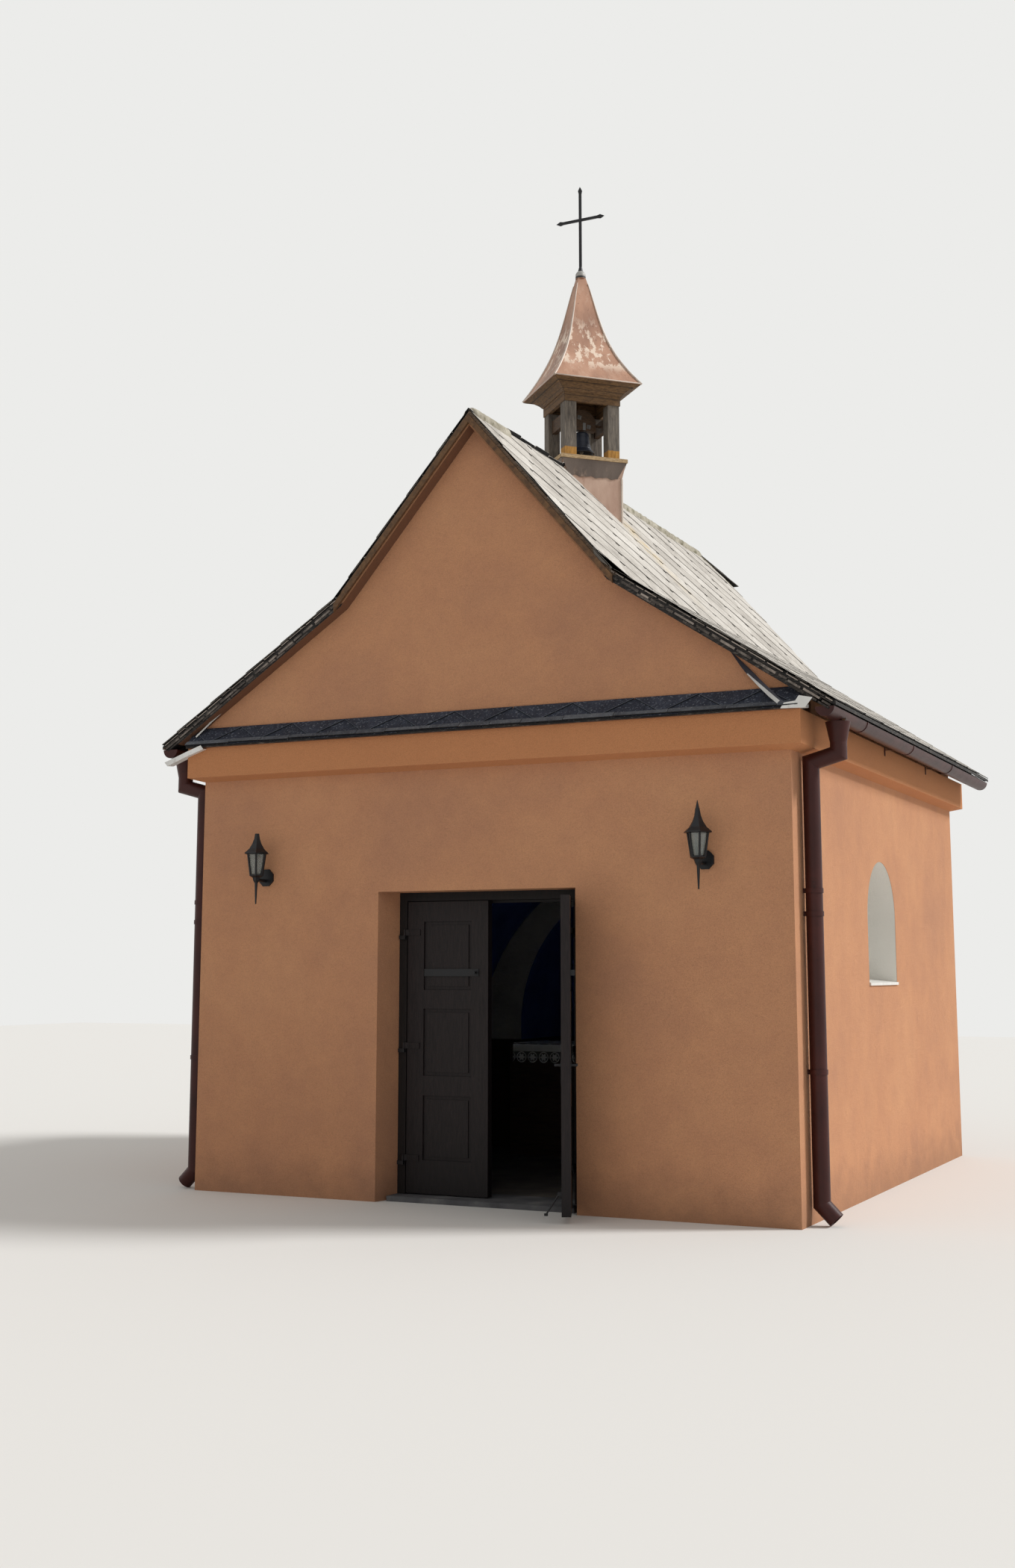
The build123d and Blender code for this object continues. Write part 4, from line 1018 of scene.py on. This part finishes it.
def spireHips():
    # the hip line is read from the spire's own mesh, where its corner points to the front
    def reach(height):
        for (low, near), (high, far) in zip(turret["profile"], turret["profile"][1:]):
            if height <= high:
                return (near + (far - near) * (height - low) / (high - low)) * math.sqrt(2)
        return 0.0
    line = {}
    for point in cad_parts["spire"].data.vertices:
        height, away = point.co.z - spireLow.z, turretY - point.co.y
        if abs(point.co.x) < 0.001 and away > reach(height) - 0.012 and height < 0.97:
            line[round(point.co.z, 3)] = point.co.copy()
    hip = [line[level] + Vector((0, -0.001, 0.001)) for level in sorted(line)]
    bars = []
    for quarter in range(4):
        turn = Matrix.Translation((0, turretY, 0)) @ quarterTurn(quarter) @ Matrix.Translation((0, -turretY, 0))
        bars.append(roundBar([turn @ point for point in hip], turret["roll"], thin=0.7))
    rim = [(x, y, spireLow.z + turret["rim"]) for x, y in cornersOf(turret["spireHalf"])]
    bars.append(roundBar(rim, turret["rim"], True))
    # the corner strips down the foot take the pale roll finish, there partly pale zinc and partly painted light on
    # sunlit folds
    for x, y in cornersOf(turret["baseHalf"]):
        bars.append(roundBar([(x, y, turret["sheetFoot"]), (x, y, turret["apron"][0])], turret["strip"]))
    return smooth(joinAll(bars), 50)


settle(spireHips(), "spire_rolls", "hip_roll")


def turretApron():
    low, high = turret["apron"]
    near, far = turret["apronHalf"]
    cells = turret["apronCells"]
    sides = []
    for quarter in range(4):
        turn = turretTurn @ quarterTurn(quarter)
        top, foot = [], []
        for step in range(cells + 1):
            share = step / cells * 2 - 1
            wave = sum(size * math.sin(share * turns + quarter * lag) for size, turns, lag in turret["waves"])
            drop = turret["scallop"] * (0.5 + 0.5 * wave)
            top.append(turn @ Vector((share * far, -far, high)))
            foot.append(turn @ Vector((share * (near - turret["apronCut"]), -near, low - drop)))
        sides.append(ribbon(top, foot))
    return joinAll(sides)


settle(turretApron(), "turret_apron", "apron_zinc")


def basePatches():
    # sheet over the foot's two corners on the ridge, one plate on each face
    wide, low, high = turret["patch"]
    half = turret["baseHalf"] + 0.0004
    plates = []
    for quarter in range(4):
        left, right = (half - wide, half + 0.001) if quarter % 2 else (-half - 0.001, wide - half)
        corners = [(left, -half, low), (right, -half, low), (right, -half, high), (left, -half, high)]
        plate = flatPiece(corners, 0.001, Vector((0, -1, 0)))
        plate.data.transform(turretTurn @ quarterTurn(quarter))
        plates.append(plate)
    return joinAll(plates)


settle(basePatches(), "base_patches", "base_sheet")


def bellBands():
    bands = []
    for level, radius in turret["bands"]:
        turns = [math.radians(turn) for turn in range(0, 360, 10)]
        ring = [(radius * math.cos(turn), turretY + radius * math.sin(turn), level) for turn in turns]
        bands.append(roundBar(ring, turret["band"], True))
    return smooth(joinAll(bands), 50)


settle(bellBands(), "bell_bands", "bell_paint", "bell")


def yokeBolts():
    # a square washer, a nut and the bolt's end on each face, and two flat straps over the bell's hanger
    fittings = []
    for face in (1, -1):
        def outside(x, z, out):
            return x, -face * (turret["yokeFace"] + out), z
        for x, z in turret["bolts"]:
            washer = addCube(turret["washer"], outside(x, z, 0.002), (0, 0.2, 0))
            nut = addCylinder(0.011, 0.009, outside(x, z, 0.0085), (math.pi / 2, 0, 0), 6)
            end = addCylinder(0.006, 0.008, outside(x, z, 0.015), (math.pi / 2, 0, 0), 12)
            fittings += [softEdges(washer, 0.001, 1), softEdges(nut, 0.001, 1), softEdges(end, 0.0015, 2)]
        strap = addCube(turret["strap"], outside(0.012, 5.9, 0.002))
        fittings.append(softEdges(strap, 0.0012, 1))
    piece = applyPlace(joinAll(fittings))
    piece.data.transform(turretTurn)
    return piece


settle(yokeBolts(), "yoke_fittings", "worn_steel", "bell")
print("turret fittings done")

# the altar's cloth: flat on the table, creased over its front edge, with a scalloped lace drop

altarLow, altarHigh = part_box("altar")


def dropCloth():
    deselectAll()
    columns, rows = lace["cells"]
    bpy.ops.mesh.primitive_grid_add(x_subdivisions=columns, y_subdivisions=rows, size=1)
    piece = bpy.context.object
    depth = altarHigh.y - altarLow.y
    length = depth + lace["drop"]
    level = altarHigh.z + 0.002
    for point in piece.data.vertices:
        x = point.co.x * 2 * lace["half"]
        down = (0.5 - point.co.y) * length
        wave = sum(math.sin(x * turns + lag) * 0.5 for turns, lag in lace["waves"])
        if down <= depth:
            point.co = (x, altarHigh.y - down * 0.996, level + 0.0008 * (wave + 1))
        else:
            away = down - depth
            across = (x / lace["rosette"] + 100.5) % 1 - 0.5
            edge = lace["middle"] - math.sqrt(max(lace["scallop"] ** 2 - (across * lace["rosette"]) ** 2, 0))
            z = level - away / lace["drop"] * (level - edge)
            point.co = (x, altarLow.y - 0.0035 - 0.004 * (wave + 1) * away / lace["drop"] * 0.5, z)
    applyModifier(piece, "SOLIDIFY", thickness=lace["thick"], offset=1)
    return smooth(piece, 60)


altarCloth = settle(dropCloth(), "lace_cloth", "altar_cloth", nodes=["altar_cloth"])
print("altar cloth done")

# studio, light and camera

studio = {
    "floor": 60, "floorColour": srgb(226, 224, 220), "sky": 0.55, "skyColour": (1.0, 0.99, 0.97, 1),
    "backdrop": srgb(236, 236, 234), "sun": 2.6, "sunTurn": (52, 0, 118), "sunSize": 12,
}
view = {
    "place": (5.377, frontY - 10.553, 1.55), "yaw": 0.448, "pitch": 0.15, "focal": 2324, "frame": (1360, 2100),
    "centre": (689.5, 949.7),
}


def buildStudio():
    deselectAll()
    bpy.ops.mesh.primitive_plane_add(size=studio["floor"], location=(0, 0, 0))
    floor = bpy.context.object
    floor.name = "floor"
    paper = bpy.data.materials.new("floor_paper")
    paper.use_nodes = True
    shader = paper.node_tree.nodes["Principled BSDF"]
    shader.inputs["Base Color"].default_value = studio["floorColour"]
    shader.inputs["Roughness"].default_value = 0.9
    floor.data.materials.append(paper)
    world = bpy.data.worlds.new("studio_sky")
    bpy.context.scene.world = world
    world.use_nodes = True
    tree = world.node_tree
    tree.nodes.clear()
    rays = addNode(tree, "LightPath").outputs
    shiny = rays["Is Camera Ray"]
    for kind in ("Is Transmission Ray", "Is Glossy Ray"):
        shiny = addNode(tree, "Math", {0: shiny, 1: rays[kind]}, operation="MAXIMUM").outputs[0]
    light = addNode(tree, "Background", {"Color": studio["skyColour"], "Strength": studio["sky"]}).outputs[0]
    backdrop = addNode(tree, "Background", {"Color": studio["backdrop"], "Strength": 1.0}).outputs[0]
    blend = addNode(tree, "MixShader", {0: shiny, 1: light, 2: backdrop}).outputs[0]
    addNode(tree, "OutputWorld", {0: blend})
    bpy.ops.object.light_add(type="SUN", location=(8, 4, 10))
    sun = bpy.context.object
    sun.name = "key_sun"
    sun.data.energy = studio["sun"]
    sun.data.angle = math.radians(studio["sunSize"])
    sun.rotation_euler = [math.radians(value) for value in studio["sunTurn"]]
    bpy.context.scene.view_settings.view_transform = "Standard"


def placeCamera():
    bpy.ops.object.camera_add(location=view["place"])
    camera = bpy.context.object
    camera.name = "camera"
    camera.rotation_euler = (math.pi / 2 + view["pitch"], 0, view["yaw"])
    long = max(view["frame"])
    camera.data.sensor_width = 36
    camera.data.lens = view["focal"] / long * 36
    camera.data.shift_x = (view["frame"][0] / 2 - view["centre"][0]) / long
    camera.data.shift_y = (view["centre"][1] - view["frame"][1] / 2) / long
    bpy.context.scene.camera = camera


buildStudio()
placeCamera()
print("studio and camera set")
